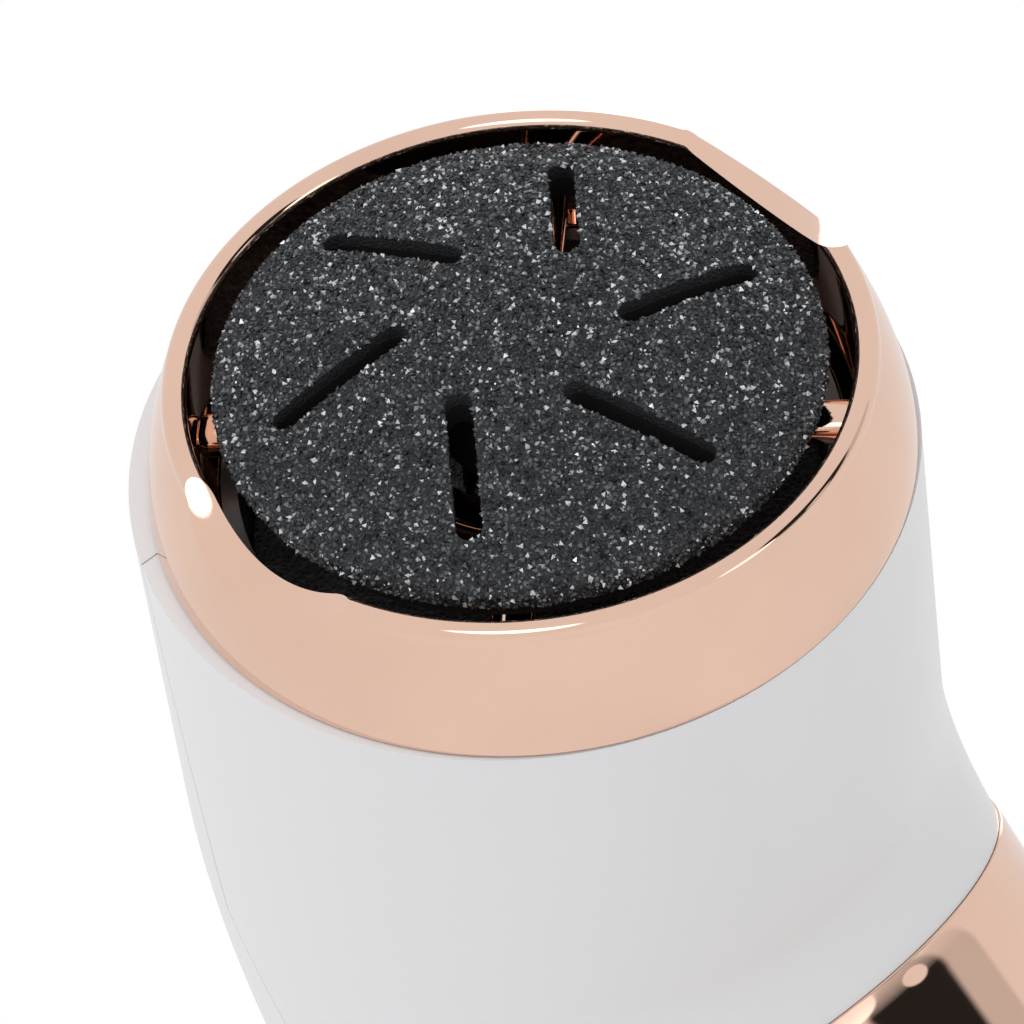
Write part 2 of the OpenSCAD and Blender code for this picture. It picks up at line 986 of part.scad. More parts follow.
module handle_rear_shell() {
    color(white)
        difference() {
            intersection() {
                handle_casing();
                handle_half(1);
            }
            for (x = [-boss_x, boss_x])
                for (z = boss_zs) {
                    rod_y(screw_r + slip, x, z, -bore_over, body_r);
                    rod_y(screw_head_r + 2 * slip, x, z, 10, body_r);
                }
        }
}

module shell_screws() {
    color(steel)
        for (x = [-boss_x, boss_x])
            for (z = boss_zs)
                translate([x, 10, z])
                    rotate([-90, 0, 0])
                        difference() {
                            union() {
                                rod(screw_r - 0.02, -16, 0);
                                rod(screw_head_r, 0, screw_head_h);
                            }
                            for (a = [0, 90])
                                rotate(a)
                                    translate([0, 0, screw_head_h])
                                        cube([2.2, 0.5, 1.2], center = true);
                        }
}

// ---- Controls ----

module button_bezel() {
    ring_r = button_r + button_gap;
    color(rose_gold)
        difference() {
            rod_y(ring_r + bezel_w - seam / 2, 0, button_z, -button_face + button_proud - bezel_proud, -bezel_back);
            rod_y(ring_r, 0, button_z, -button_face - bore_over, -bezel_back + bore_over);
        }
}

module power_button() {
    cap_floor = bezel_back + flange_t + slip;
    color(white)
        difference() {
            union() {
                rod_y(button_r, 0, button_z, -button_face, -bezel_back + slip);
                rod_y(button_r + flange_w, 0, button_z, -bezel_back + slip, -bezel_back + slip + flange_t);
                rod_y(plunger_r, 0, button_z, -bezel_back, -plunger_face);
            }
            difference() {
                rod_y(button_r - button_wall, 0, button_z, -button_face + button_face_t, -bezel_back + cap_floor);
                rod_y(plunger_r, 0, button_z, -button_face, 0);
            }
        }
}

module switch_body() {
    color(dark)
        difference() {
            translate([-switch_w / 2, board_y - switch_h, button_z - switch_w / 2])
                cube([switch_w, switch_h, switch_w]);
            rod_y(plunger_r + running_fit, 0, button_z, board_y - switch_h - bore_over, board_y - switch_floor);
        }
}

module switch_plunger() {
    color([0.7, 0.7, 0.7])
        rod_y(plunger_r, 0, button_z, -plunger_face, board_y - switch_floor - button_travel - slip);
}

module indicator_lens() {
    color([0.85, 0.86, 0.88])
        intersection() {
            lens_shape(0);
            difference() {
                handle_core(inner_z, belt_z, 0.15);
                handle_core(inner_z, belt_z, wall + 0.6);
            }
        }
}

module indicator_leds() {
    color([0.95, 0.95, 0.8])
        for (i = [-1:1])
            translate([-led_w / 2, board_y - led_t, lens_z - led_w / 2 + led_step * i])
                cube([led_w, led_t, led_w]);
}

module circuit_board() {
    color([0.1, 0.35, 0.2])
        translate([-board_w / 2, board_y, board_low])
            cube([board_w, board_t, board_top - board_low]);
}

module charging_socket() {
    color(steel)
        translate([0, socket_y, socket_low])
            difference() {
                pill(socket_w, socket_h, socket_l);
                difference() {
                    translate([0, 0, -bore_over])
                        pill(socket_w - 2 * socket_wall, socket_h - 2 * socket_wall, socket_l - 0.4 + bore_over);
                    translate([-tongue[0] / 2, -tongue[1] / 2, 0.6])
                        cube([tongue[0], tongue[1], socket_l]);
                }
            }
}

// ---- Battery and base ----

module battery_cell() {
    color([0.2, 0.35, 0.6])
        translate([0, cell_y, 0]) {
            rod(cell_r, cell_low, cell_low + cell_l);
            rod(cell_r / 3, cell_low + cell_l, cell_low + cell_l + pip_h);
        }
}

module battery_holder() {
    cradle_r = cell_r + slip;
    color(dark)
        difference() {
            union() {
                translate([0, cell_y, 0])
                    rod(cradle_r + cradle_t, cell_low - cradle_t, cell_low + cell_l + cradle_lip);
                translate([-cradle_web / 2, board_y + board_t, cell_low + cradle_lip])
                    cube([cradle_web, cell_y - cradle_r - board_y - board_t, cell_l - 3 * cradle_lip]);
            }
            translate([0, cell_y, 0])
                rod(cradle_r, cell_low, cell_low + cell_l + pip_h + slip);
            translate([-2 * cradle_r, cell_y - 1, cell_low + cradle_strap])
                cube([4 * cradle_r, 2 * cradle_r, cell_l - 2 * cradle_strap]);
        }
}

module base_cap() {
    spigot_out = handle_r(inner_z) - wall - slip - base_spigot_play;
    color(rose_gold)
        difference() {
            union() {
                handle_core(base_plate_low, inner_z - slip, 0);
                rod(spigot_out, inner_z - slip, inner_z + base_spigot_h);
            }
            rod(spigot_out - base_spigot_t, base_plate_low + base_plate_t, inner_z + base_spigot_h + bore_over);
            translate([0, socket_y, base_plate_low - bore_over])
                pill(socket_w + 2 * socket_play, socket_h + 2 * socket_play, base_plate_t + 2 * bore_over);
        }
}

module base_foot() {
    color([0.15, 0.15, 0.15])
        difference() {
            rod(foot_r, 0, foot_t);
            translate([0, socket_y, -bore_over])
                pill(socket_w + 2 * foot_play, socket_h + 2 * foot_play, foot_t + 2 * bore_over);
        }
}

abrasive_disc();
disc_carrier();
carrier_magnet();
drive_hub();
spindle();
spindle_gear();
bearing_inner_race();
bearing_balls();
bearing_outer_race();
rear_bush();
bezel_ring();
bezel_seal();
dust_cup();
filter_sponge();
gearbox_housing();
gearbox_plate();
gearbox_screws();
motor_screws();
motor_can();
motor_magnets();
motor_armature();
motor_shaft();
motor_brushes();
motor_end_cap();
motor_pinion();
fan_impeller();
fan_shroud();
head_shell_front();
head_shell_back();
waist_belt();
handle_front_shell();
handle_rear_shell();
shell_screws();
power_button();
button_bezel();
switch_body();
switch_plunger();
indicator_lens();
indicator_leds();
circuit_board();
charging_socket();
battery_cell();
battery_holder();
base_cap();
base_foot();
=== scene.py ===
"""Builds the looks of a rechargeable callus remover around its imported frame."""

import json
import math

import bmesh
import bpy
from bpy.props import FloatProperty, FloatVectorProperty, IntProperty, PointerProperty
from mathutils import Matrix, Vector


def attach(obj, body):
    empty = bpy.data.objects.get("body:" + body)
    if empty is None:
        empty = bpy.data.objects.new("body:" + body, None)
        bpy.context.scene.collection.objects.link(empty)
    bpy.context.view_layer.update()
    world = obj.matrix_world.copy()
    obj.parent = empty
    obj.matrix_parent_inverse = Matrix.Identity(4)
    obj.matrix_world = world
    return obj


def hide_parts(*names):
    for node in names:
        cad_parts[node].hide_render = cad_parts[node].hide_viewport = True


bl_info = {
    "name": "Callus Remover",
    "version": (1, 0, 0),
    "blender": (4, 5, 0),
    "location": "View3D > Sidebar > Callus Remover",
    "description": "Grit disc, plated ring, belt, finishes and studio for a callus remover",
    "category": "Object",
}

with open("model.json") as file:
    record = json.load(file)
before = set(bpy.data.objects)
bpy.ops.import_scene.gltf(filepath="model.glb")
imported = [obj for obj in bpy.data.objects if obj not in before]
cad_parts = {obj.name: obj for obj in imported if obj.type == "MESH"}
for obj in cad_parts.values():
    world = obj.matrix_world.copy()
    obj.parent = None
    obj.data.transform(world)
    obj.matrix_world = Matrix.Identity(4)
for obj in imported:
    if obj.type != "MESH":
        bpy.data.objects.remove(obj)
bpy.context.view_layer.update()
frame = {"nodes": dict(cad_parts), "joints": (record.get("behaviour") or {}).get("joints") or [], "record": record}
NODES = frame["nodes"]

MM = 0.001
SPIN = next(joint for joint in frame["joints"] if joint["name"] == "disc_spin")
HEAD_ORIGIN = Vector(SPIN["pos_m"])
BEND = math.acos(Vector(SPIN["axis"]).normalized().z)
AT_HEAD = Matrix.Translation(HEAD_ORIGIN) @ Matrix.Rotation(BEND, 4, "X")


# ---------------------------------------------------------------- sizes and colours

class RemoverDiscSettings(bpy.types.PropertyGroup):
    """The abrasive disc, in its own frame: the axis is Z and zero is the ring's lower edge"""

    radius: FloatProperty(name="Radius", description="Radius of the disc",
                          default=22.0 * MM, subtype="DISTANCE", unit="LENGTH")
    edge_height: FloatProperty(name="Edge height",
                               description="Height of the dome's edge above the ring's foot",
                               default=10.3 * MM, subtype="DISTANCE", unit="LENGTH")
    dome: FloatProperty(name="Dome", description="Rise of the dome above its edge",
                        default=4.8 * MM, subtype="DISTANCE", unit="LENGTH")
    thickness: FloatProperty(name="Thickness", description="Thickness of the abrasive shell",
                             default=1.2 * MM, subtype="DISTANCE", unit="LENGTH")
    edge_round: FloatProperty(name="Edge rounding", description="Radius of the rounded rim",
                              default=0.7 * MM, subtype="DISTANCE", unit="LENGTH")
    slots: IntProperty(name="Slots", description="Number of slots", default=6)
    slot_width: FloatProperty(name="Slot width", description="Width of a slot",
                              default=2.0 * MM, subtype="DISTANCE", unit="LENGTH")
    slot_inner: FloatProperty(name="Slot inner radius",
                              description="Distance from the centre to a slot's inner end",
                              default=7.6 * MM, subtype="DISTANCE", unit="LENGTH")
    slot_outer: FloatProperty(name="Slot outer radius",
                              description="Distance from the centre to a slot's outer end",
                              default=18.3 * MM, subtype="DISTANCE", unit="LENGTH")
    slot_offset: FloatProperty(name="Slot offset", description="Sideways offset of a slot from the centre",
                               default=4.3 * MM, subtype="DISTANCE", unit="LENGTH")
    slot_turn: FloatProperty(name="Slot turn", description="Direction of the first slot",
                             default=math.radians(51.9), subtype="ANGLE", unit="ROTATION")
    grain: FloatProperty(name="Grain size", description="Mean radius of a coarse abrasive grain",
                         default=0.23 * MM, subtype="DISTANCE", unit="LENGTH", precision=5)
    grain_gap: FloatProperty(name="Grain spacing", description="Least distance between coarse grains",
                             default=0.32 * MM, subtype="DISTANCE", unit="LENGTH", precision=5)
    dust: FloatProperty(name="Fine grain size", description="Mean radius of a fine abrasive grain",
                        default=0.13 * MM, subtype="DISTANCE", unit="LENGTH", precision=5)
    dust_gap: FloatProperty(name="Fine grain spacing", description="Least distance between fine grains",
                            default=0.27 * MM, subtype="DISTANCE", unit="LENGTH", precision=5)
    colour: FloatVectorProperty(name="Grit colour", description="Colour of the dark grains",
                                default=(0.016, 0.017, 0.019), subtype="COLOR", size=3)
    sparkle: FloatVectorProperty(name="Sparkle colour", description="Colour of the bright crystal faces",
                                 default=(0.8, 0.82, 0.86), subtype="COLOR", size=3)


class RemoverRingSettings(bpy.types.PropertyGroup):
    """The plated ring round the disc, in the disc's frame"""

    bore: FloatProperty(name="Bore radius", description="Radius inside the ring",
                        default=24.0 * MM, subtype="DISTANCE", unit="LENGTH")
    lip: FloatProperty(name="Lip width", description="Width of the rounded lip",
                       default=1.8 * MM, subtype="DISTANCE", unit="LENGTH")
    flare: FloatProperty(name="Flare", description="How much wider the ring is at its foot",
                         default=2.2 * MM, subtype="DISTANCE", unit="LENGTH")
    height: FloatProperty(name="Height", description="Height of the ring",
                          default=10.5 * MM, subtype="DISTANCE", unit="LENGTH")
    spigot: FloatProperty(name="Spigot radius", description="Outer radius of the spigot inside the casing",
                          default=25.5 * MM, subtype="DISTANCE", unit="LENGTH")
    spigot_bore: FloatProperty(name="Spigot bore", description="Inner radius of the spigot",
                               default=22.8 * MM, subtype="DISTANCE", unit="LENGTH")
    spigot_length: FloatProperty(name="Spigot length",
                                 description="How far the spigot reaches into the casing",
                                 default=4.5 * MM, subtype="DISTANCE", unit="LENGTH")
    groove_depth: FloatProperty(name="Groove depth", description="Depth of the seal's groove",
                                default=1.4 * MM, subtype="DISTANCE", unit="LENGTH")
    groove_high: FloatProperty(name="Groove top", description="Distance from the ring's foot to the groove",
                               default=1.8 * MM, subtype="DISTANCE", unit="LENGTH")
    groove_low: FloatProperty(name="Groove bottom",
                              description="Distance from the ring's foot to the groove's end",
                              default=3.4 * MM, subtype="DISTANCE", unit="LENGTH")
    step: FloatProperty(name="Step", description="Height of the step between the bore and the spigot",
                        default=0.6 * MM, subtype="DISTANCE", unit="LENGTH")
    scoop_radius: FloatProperty(name="Scoop radius", description="Radius of a finger scoop",
                                default=18.0 * MM, subtype="DISTANCE", unit="LENGTH")
    scoop_depth: FloatProperty(name="Scoop depth", description="Depth of a finger scoop below the lip",
                               default=2.6 * MM, subtype="DISTANCE", unit="LENGTH")
    scoop_slope: FloatProperty(name="Scoop slope", description="Outward slope of a finger scoop",
                               default=math.radians(24.0), subtype="ANGLE", unit="ROTATION")
    spoke_width: FloatProperty(name="Spoke width", description="Width of the spokes behind the disc",
                               default=3.4 * MM, subtype="DISTANCE", unit="LENGTH")
    spoke_hub: FloatProperty(name="Spoke hub radius", description="Inner radius of the spokes' hub",
                             default=7.6 * MM, subtype="DISTANCE", unit="LENGTH")
    spoke_rim: FloatProperty(name="Hub rim", description="Width of the spokes' hub",
                             default=2.9 * MM, subtype="DISTANCE", unit="LENGTH")
    spoke_level: FloatProperty(name="Spoke level", description="Height of the spokes' underside",
                               default=2.0 * MM, subtype="DISTANCE", unit="LENGTH")
    spoke_depth: FloatProperty(name="Spoke depth", description="Depth of the spokes",
                               default=2.6 * MM, subtype="DISTANCE", unit="LENGTH")
    colour: FloatVectorProperty(name="Plating", description="Colour of the rose gold plating",
                                default=(0.88, 0.6, 0.47), subtype="COLOR", size=3)


class RemoverBeltSettings(bpy.types.PropertyGroup):
    """The plated belt round the waist, where the handle starts to bend"""

    radius: FloatProperty(name="Radius", description="Outer radius of the belt",
                          default=29.15 * MM, subtype="DISTANCE", unit="LENGTH")
    thickness: FloatProperty(name="Thickness", description="Thickness of the belt",
                             default=1.44 * MM, subtype="DISTANCE", unit="LENGTH")
    bend_start: FloatProperty(name="Bend height", description="Height at which the bend starts",
                              default=98.0 * MM, subtype="DISTANCE", unit="LENGTH")
    bend_radius: FloatProperty(name="Bend radius", description="Radius of the bend, on the body's axis",
                               default=40.5 * MM, subtype="DISTANCE", unit="LENGTH")
    angle: FloatProperty(name="Angle", description="Part of the bend under the belt",
                         default=math.radians(12.0), subtype="ANGLE", unit="ROTATION")
    straight: FloatProperty(name="Straight length", description="Length of the belt on the handle",
                            default=9.0 * MM, subtype="DISTANCE", unit="LENGTH")
    straight_steps: IntProperty(name="Straight steps",
                                description="Mesh steps along the straight part", default=6)
    bend_steps: IntProperty(name="Bend steps", description="Mesh steps along the bent part", default=24)
    edge: FloatProperty(name="Edge rounding", description="Radius of the belt's rounded edges",
                        default=0.35 * MM, subtype="DISTANCE", unit="LENGTH")


class RemoverCasingSettings(bpy.types.PropertyGroup):
    """Colours of the moulded parts"""

    white: FloatVectorProperty(name="Casing", description="Colour of the white casing",
                               default=(0.75, 0.745, 0.76), subtype="COLOR", size=3)
    black: FloatVectorProperty(name="Black plastic", description="Colour of the black parts",
                               default=(0.02, 0.02, 0.022), subtype="COLOR", size=3)
    smoke: FloatVectorProperty(name="Dust cup", description="Colour of the dust cup",
                               default=(0.1, 0.085, 0.09), subtype="COLOR", size=3)


class RemoverStageSettings(bpy.types.PropertyGroup):
    """Camera, floor and lights"""

    azimuth: FloatProperty(name="Azimuth",
                           description="Direction of the camera seen from above, counted from +X",
                           default=math.radians(-112.81), subtype="ANGLE", unit="ROTATION")
    elevation: FloatProperty(name="Elevation", description="Height of the camera above the horizon",
                             default=math.radians(1.406), subtype="ANGLE", unit="ROTATION")
    roll: FloatProperty(name="Roll", description="Turn of the camera about its own axis",
                        default=math.radians(35.454), subtype="ANGLE", unit="ROTATION")
    distance: FloatProperty(name="Distance", description="Distance from the camera to its target",
                            default=507.3 * MM, subtype="DISTANCE", unit="LENGTH")
    target: FloatVectorProperty(name="Target", description="Point the camera looks at",
                                default=(-3.166 * MM, -38.156 * MM, 145.046 * MM), subtype="XYZ",
                                unit="LENGTH", size=3)
    lens: FloatProperty(name="Lens", description="Focal length in millimetres", default=246.1)
    floor_radius: FloatProperty(name="Floor radius", description="Radius of the floor",
                                default=1.4, subtype="DISTANCE", unit="LENGTH")
    backdrop: FloatProperty(name="Backdrop", description="Brightness of the backdrop", default=1.0)
    tent: FloatProperty(name="Tent", default=0.84,
                        description="Brightness of the white tent round the object")
    fade_start: FloatProperty(name="Fade start", default=0.14, subtype="DISTANCE", unit="LENGTH",
                              description="Distance from the axis at which the floor starts to fade")
    fade_end: FloatProperty(name="Fade end", default=0.448, subtype="DISTANCE", unit="LENGTH",
                            description="Distance from the axis at which the floor has faded")
    key_place: FloatVectorProperty(name="Key place", description="Place of the key softbox from the target",
                                   default=(-0.3, -0.25, 0.5), subtype="XYZ", unit="LENGTH", size=3)
    key_size: FloatProperty(name="Key size", description="Side of the key softbox",
                            default=0.25, subtype="DISTANCE", unit="LENGTH")
    edge: FloatProperty(name="Soft edge",
                        description="Width of the soft edge of a panel, as a share of its size",
                        default=0.25, subtype="FACTOR")
    key: FloatProperty(name="Key light", description="Power of the key softbox in watts", default=0.8)


# What the tent shows beside its even white: direction, angle from the middle to the edge, brightness
PANELS = (
    ("softbox over the camera", (-0.38, -0.87, 0.31), math.radians(11), 2.6),
    ("softbox behind", (0.70, 0.65, 0.28), math.radians(11), 2.6),
    ("curtain", (0.86, -0.48, -0.15), math.radians(12), 0.62),
    ("doorway", (0.64, -0.73, -0.18), math.radians(15), 0.02),
    ("window in the doorway", (0.70, -0.65, -0.28), math.radians(4.5), 0.85),
    ("lamp beside the doorway", (0.34, -0.84, -0.42), math.radians(8), 2.0),
)


# ---------------------------------------------------------------- helpers for meshes

def settings():
    """The property groups of this add-on, on the current scene."""
    return bpy.context.scene.remover


def add_piece(name, form, material, smooth=math.radians(35)):
    """Turns a bmesh into an object with one material and creases where faces meet sharply."""
    mesh = bpy.data.meshes.new(name)
    form.to_mesh(mesh)
    form.free()
    mesh.materials.append(material)
    mesh.shade_smooth()
    mesh.set_sharp_from_angle(angle=smooth)
    piece = bpy.data.objects.new(name, mesh)
    bpy.context.scene.collection.objects.link(piece)
    return piece


def settle(piece, smooth=None):
    """Replaces a piece's mesh by the result of its modifiers, and clears them."""
    graph = bpy.context.evaluated_depsgraph_get()
    mesh = bpy.data.meshes.new_from_object(piece.evaluated_get(graph), depsgraph=graph)
    piece.modifiers.clear()
    old = piece.data
    piece.data = mesh
    bpy.data.meshes.remove(old)
    mesh.name = piece.name
    if smooth is not None:
        mesh.shade_smooth()
        mesh.set_sharp_from_angle(angle=smooth)
    return piece


def discard(*pieces):
    """Removes helper objects with their meshes."""
    for piece in pieces:
        mesh = piece.data
        bpy.data.objects.remove(piece)
        bpy.data.meshes.remove(mesh)


def in_order(piece):
    """Sorts a mesh's points and faces by place. A Boolean gives the same shape in a new order each run."""
    old = piece.data
    fine = 0.0001 * MM
    places = [(tuple(round(part / fine) for part in vert.co), tuple(vert.co)) for vert in old.vertices]
    order = sorted(range(len(places)), key=places.__getitem__)
    rank = {index: new for new, index in enumerate(order)}
    faces = []
    for polygon in old.polygons:
        corners = [rank[index] for index in polygon.vertices]
        first = corners.index(min(corners))
        faces.append(tuple(corners[first:] + corners[:first]))
    mesh = bpy.data.meshes.new(piece.name)
    mesh.from_pydata([old.vertices[index].co for index in order], [], sorted(faces))
    mesh.materials.append(old.materials[0])
    piece.data = mesh
    bpy.data.meshes.remove(old)


def cut(piece, cutter):
    """Cuts one solid away from another."""
    boolean = piece.modifiers.new("Cut", "BOOLEAN")
    boolean.operation = "DIFFERENCE"
    boolean.solver = "EXACT"
    boolean.object = cutter
    settle(piece)
    in_order(piece)
    discard(cutter)
    return piece


def revolve(outline, steps, closed=True):
    """Spins an outline of (radius, height) points about Z into a closed solid."""
    form = bmesh.new()
    points = [form.verts.new((radius, 0, height)) for radius, height in outline]
    pairs = list(zip(points, points[1:]))
    if closed:
        pairs.append((points[-1], points[0]))
    edges = [form.edges.new(pair) for pair in pairs]
    bmesh.ops.spin(form, geom=points + edges, cent=(0, 0, 0), axis=(0, 0, 1), angle=2 * math.pi,
                   steps=steps, use_merge=True)
    bmesh.ops.remove_doubles(form, verts=form.verts, dist=0.002 * MM)
    bmesh.ops.recalc_face_normals(form, faces=form.faces)
    return form


def raise_faces(form, faces, shift):
    """Extrudes faces, moves the new ones and returns them."""
    made = bmesh.ops.extrude_face_region(form, geom=faces)["geom"]
    raised = [part for part in made if isinstance(part, bmesh.types.BMVert)]
    bmesh.ops.transform(form, matrix=shift, verts=raised)
    return [part for part in made if isinstance(part, bmesh.types.BMFace)]


def bevel_creases(form, width, segments, angle=math.radians(35)):
    """Rounds the edges where faces meet sharply."""
    creases = [edge for edge in form.edges if edge.is_manifold and edge.calc_face_angle(0) > angle]
    bmesh.ops.bevel(form, geom=creases, offset=width, offset_type="OFFSET", affect="EDGES",
                    segments=segments, profile=0.5, material=-1, clamp_overlap=True)


# ---------------------------------------------------------------- helpers for materials

class Finish:
    """A material whose nodes all read Object coordinates."""

    def __init__(self, name):
        self.material = bpy.data.materials.new(name)
        self.material.use_nodes = True
        self.tree = self.material.node_tree
        self.shader = self.tree.nodes["Principled BSDF"]
        self.place = self.tree.nodes.new("ShaderNodeTexCoord")

    def link(self, start, end):
        self.tree.links.new(start, end)

    def put(self, **values):
        """Sets sockets of the shader."""
        for name, value in values.items():
            self.shader.inputs[name.replace("_", " ")].default_value = value

    def mapped(self, stretch=(1, 1, 1)):
        mapping = self.tree.nodes.new("ShaderNodeMapping")
        mapping.inputs["Scale"].default_value = stretch
        self.link(self.place.outputs["Object"], mapping.inputs["Vector"])
        return mapping.outputs["Vector"]

    def noise(self, scale, detail=3.0, rough=0.55, stretch=(1, 1, 1)):
        node = self.tree.nodes.new("ShaderNodeTexNoise")
        node.inputs["Scale"].default_value = scale
        node.inputs["Detail"].default_value = detail
        node.inputs["Roughness"].default_value = rough
        self.link(self.mapped(stretch), node.inputs["Vector"])
        return node.outputs["Fac"]

    def cells(self, scale, output="Distance", feature="F1"):
        node = self.tree.nodes.new("ShaderNodeTexVoronoi")
        node.feature = feature
        node.inputs["Scale"].default_value = scale
        self.link(self.mapped(), node.inputs["Vector"])
        return node.outputs[output]

    def ramp(self, value, *stops):
        """A colour ramp with (position, colour) stops."""
        node = self.tree.nodes.new("ShaderNodeValToRGB")
        while len(node.color_ramp.elements) < len(stops):
            node.color_ramp.elements.new(1.0)
        for element, (position, colour) in zip(node.color_ramp.elements, stops):
            element.position = position
            element.color = (*colour, 1.0)
        self.link(value, node.inputs["Fac"])
        return node.outputs["Color"]

    def spread(self, value, low, high, start=0.3, end=0.7):
        """Maps a value from start..end to low..high."""
        node = self.tree.nodes.new("ShaderNodeMapRange")
        node.inputs["From Min"].default_value = start
        node.inputs["From Max"].default_value = end
        node.inputs["To Min"].default_value = low
        node.inputs["To Max"].default_value = high
        self.link(value, node.inputs["Value"])
        return node.outputs["Result"]

    def bump(self, value, strength, depth):
        """Adds relief over whatever relief the shader has."""
        node = self.tree.nodes.new("ShaderNodeBump")
        node.inputs["Strength"].default_value = strength
        node.inputs["Distance"].default_value = depth
        self.link(value, node.inputs["Height"])
        normal = self.shader.inputs["Normal"]
        if normal.is_linked:
            self.link(normal.links[0].from_socket, node.inputs["Normal"])
        self.link(node.outputs["Normal"], normal)

    def colour(self, socket):
        self.link(socket, self.shader.inputs["Base Color"])

    def roughness(self, socket):
        self.link(socket, self.shader.inputs["Roughness"])


def shade(colour, factor):
    """A colour made lighter or darker."""
    return tuple(min(1.0, part * factor) for part in colour)


def moulded(name, colour, low, high, grain=900.0, relief=0.02, variation=0.04, coat=0.0):
    """Injection-moulded plastic: faint flow in the colour, uneven gloss and a fine skin."""
    finish = Finish(name)
    finish.put(Metallic=0.0, Coat_Weight=coat, Coat_Roughness=0.08)
    flow = finish.noise(45.0, 4.0)
    finish.colour(finish.ramp(flow, (0.3, shade(colour, 1 - variation)),
                              (0.7, shade(colour, 1 + variation / 2))))
    finish.roughness(finish.spread(finish.noise(160.0, 5.0), low, high))
    finish.bump(finish.noise(grain, 4.0, 0.6), 0.35, relief * MM)
    return finish.material


def plating(name, colour):
    """Mirror-bright plating over plastic: slight orange peel, hairlines and a trace of haze."""
    finish = Finish(name)
    finish.put(Metallic=1.0, Specular_IOR_Level=0.5)
    haze = finish.noise(70.0, 5.0)
    finish.colour(finish.ramp(haze, (0.3, shade(colour, 0.96)), (0.7, shade(colour, 1.02))))
    finish.roughness(finish.spread(finish.noise(240.0, 6.0, 0.6), 0.025, 0.06))
    finish.bump(finish.noise(120.0, 2.0), 0.1, 0.012 * MM)
    finish.bump(finish.noise(420.0, 6.0, 0.7, stretch=(1, 1, 9)), 0.03, 0.002 * MM)
    return finish.material


def turned(name, colour, low, high, stretch=(1, 1, 14)):
    """Turned or ground metal: fine tool lines and uneven polish."""
    finish = Finish(name)
    finish.put(Metallic=1.0)
    lines = finish.noise(500.0, 5.0, 0.65, stretch)
    finish.colour(finish.ramp(finish.noise(120.0, 4.0), (0.3, shade(colour, 0.88)),
                              (0.7, shade(colour, 1.06))))
    finish.roughness(finish.spread(lines, low, high))
    finish.bump(lines, 0.25, 0.01 * MM)
    return finish.material


def matt(name, colour, low, high, grain, relief, lighter=1.25):
    """Matt stock such as rubber, ferrite or sintered metal, with a visible grain."""
    finish = Finish(name)
    speckle = finish.noise(grain, 5.0, 0.7)
    finish.colour(finish.ramp(speckle, (0.3, shade(colour, 0.75)), (0.75, shade(colour, lighter))))
    finish.roughness(finish.spread(finish.noise(grain / 3, 3.0), low, high))
    finish.bump(speckle, 0.6, relief * MM)
    return finish


def grit_bed(name, disc):
    """The resin that holds the grains: near black, pitted all over, with painted shade darkening the middle of
    each pit.
    """
    finish = Finish(name)
    shaded_pits = finish.cells(4200.0)
    fine = finish.noise(9000.0, 4.0, 0.7)
    # painted shade: the resin's colour is darkest in the middle of each pit, where the relief is lowest
    finish.colour(finish.ramp(shaded_pits, (0.1, shade(disc.colour, 0.5)), (0.6, shade(disc.colour, 1.6))))
    finish.roughness(finish.spread(fine, 0.5, 0.85))
    finish.bump(shaded_pits, 0.9, 0.12 * MM)
    finish.bump(fine, 0.7, 0.04 * MM)
    return finish.material


def grit_grain(name, disc):
    """Crystals: most are dark glass, some have bright faces. The share comes from each grain's own tone."""
    finish = Finish(name)
    tone = finish.tree.nodes.new("ShaderNodeAttribute")
    tone.attribute_name = "grain_tone"
    value = tone.outputs["Fac"]
    dark, sparkle = tuple(disc.colour), tuple(disc.sparkle)
    finish.colour(finish.ramp(value, (0.0, shade(dark, 0.35)), (0.5, shade(dark, 2.0)),
                              (0.8, shade(dark, 7.0)), (0.9, shade(sparkle, 0.55)), (1.0, sparkle)))
    finish.link(finish.spread(value, 0.0, 0.9, 0.72, 0.86), finish.shader.inputs["Metallic"])
    finish.roughness(finish.spread(finish.noise(5200.0, 3.0), 0.12, 0.42))
    finish.bump(finish.noise(14000.0, 2.0), 0.3, 0.01 * MM)
    return finish.material


def foam(name):
    """Open-cell filter foam: rounded pores between paler struts, with painted shade making the pores dark."""
    finish = matt(name, (0.12, 0.12, 0.13), 0.85, 1.0, 1400.0, 0.2)
    pores = finish.cells(2200.0)
    # painted shade: the colour falls to near black in the middle of each pore, where the relief is lowest
    finish.colour(finish.ramp(pores, (0.15, (0.008, 0.008, 0.01)), (0.6, (0.05, 0.05, 0.055))))
    finish.bump(pores, 1.0, 0.3 * MM)
    finish.put(Sheen_Weight=0.3)
    return finish.material


def board(name):
    """Solder mask over copper: pale traces under green, gold pads here and there."""
    finish = Finish(name)
    traces = finish.cells(420.0, feature="DISTANCE_TO_EDGE")
    finish.colour(finish.ramp(traces, (0.02, (0.1, 0.36, 0.2)), (0.06, (0.02, 0.15, 0.07)),
                              (0.6, (0.025, 0.19, 0.09)), (0.72, (0.7, 0.5, 0.2))))
    finish.roughness(finish.spread(finish.noise(300.0), 0.25, 0.45))
    finish.bump(traces, 0.4, 0.05 * MM)
    return finish.material


def winding(name):
    """Enamelled copper wire wound side by side over a laminated core, with painted shade in the grooves between
    the turns.
    """
    finish = Finish(name)
    wires = finish.tree.nodes.new("ShaderNodeTexWave")
    wires.inputs["Scale"].default_value = 900.0
    wires.inputs["Distortion"].default_value = 1.5
    finish.link(finish.mapped(), wires.inputs["Vector"])
    turns = wires.outputs["Fac"]
    finish.put(Metallic=1.0)
    # painted shade: the copper is darkest in the grooves between the turns, where the relief is lowest
    finish.colour(finish.ramp(turns, (0.1, (0.2, 0.06, 0.02)), (0.7, (0.7, 0.3, 0.13))))
    finish.roughness(finish.spread(finish.noise(400.0), 0.2, 0.4))
    finish.bump(turns, 0.8, 0.1 * MM)
    return finish.material


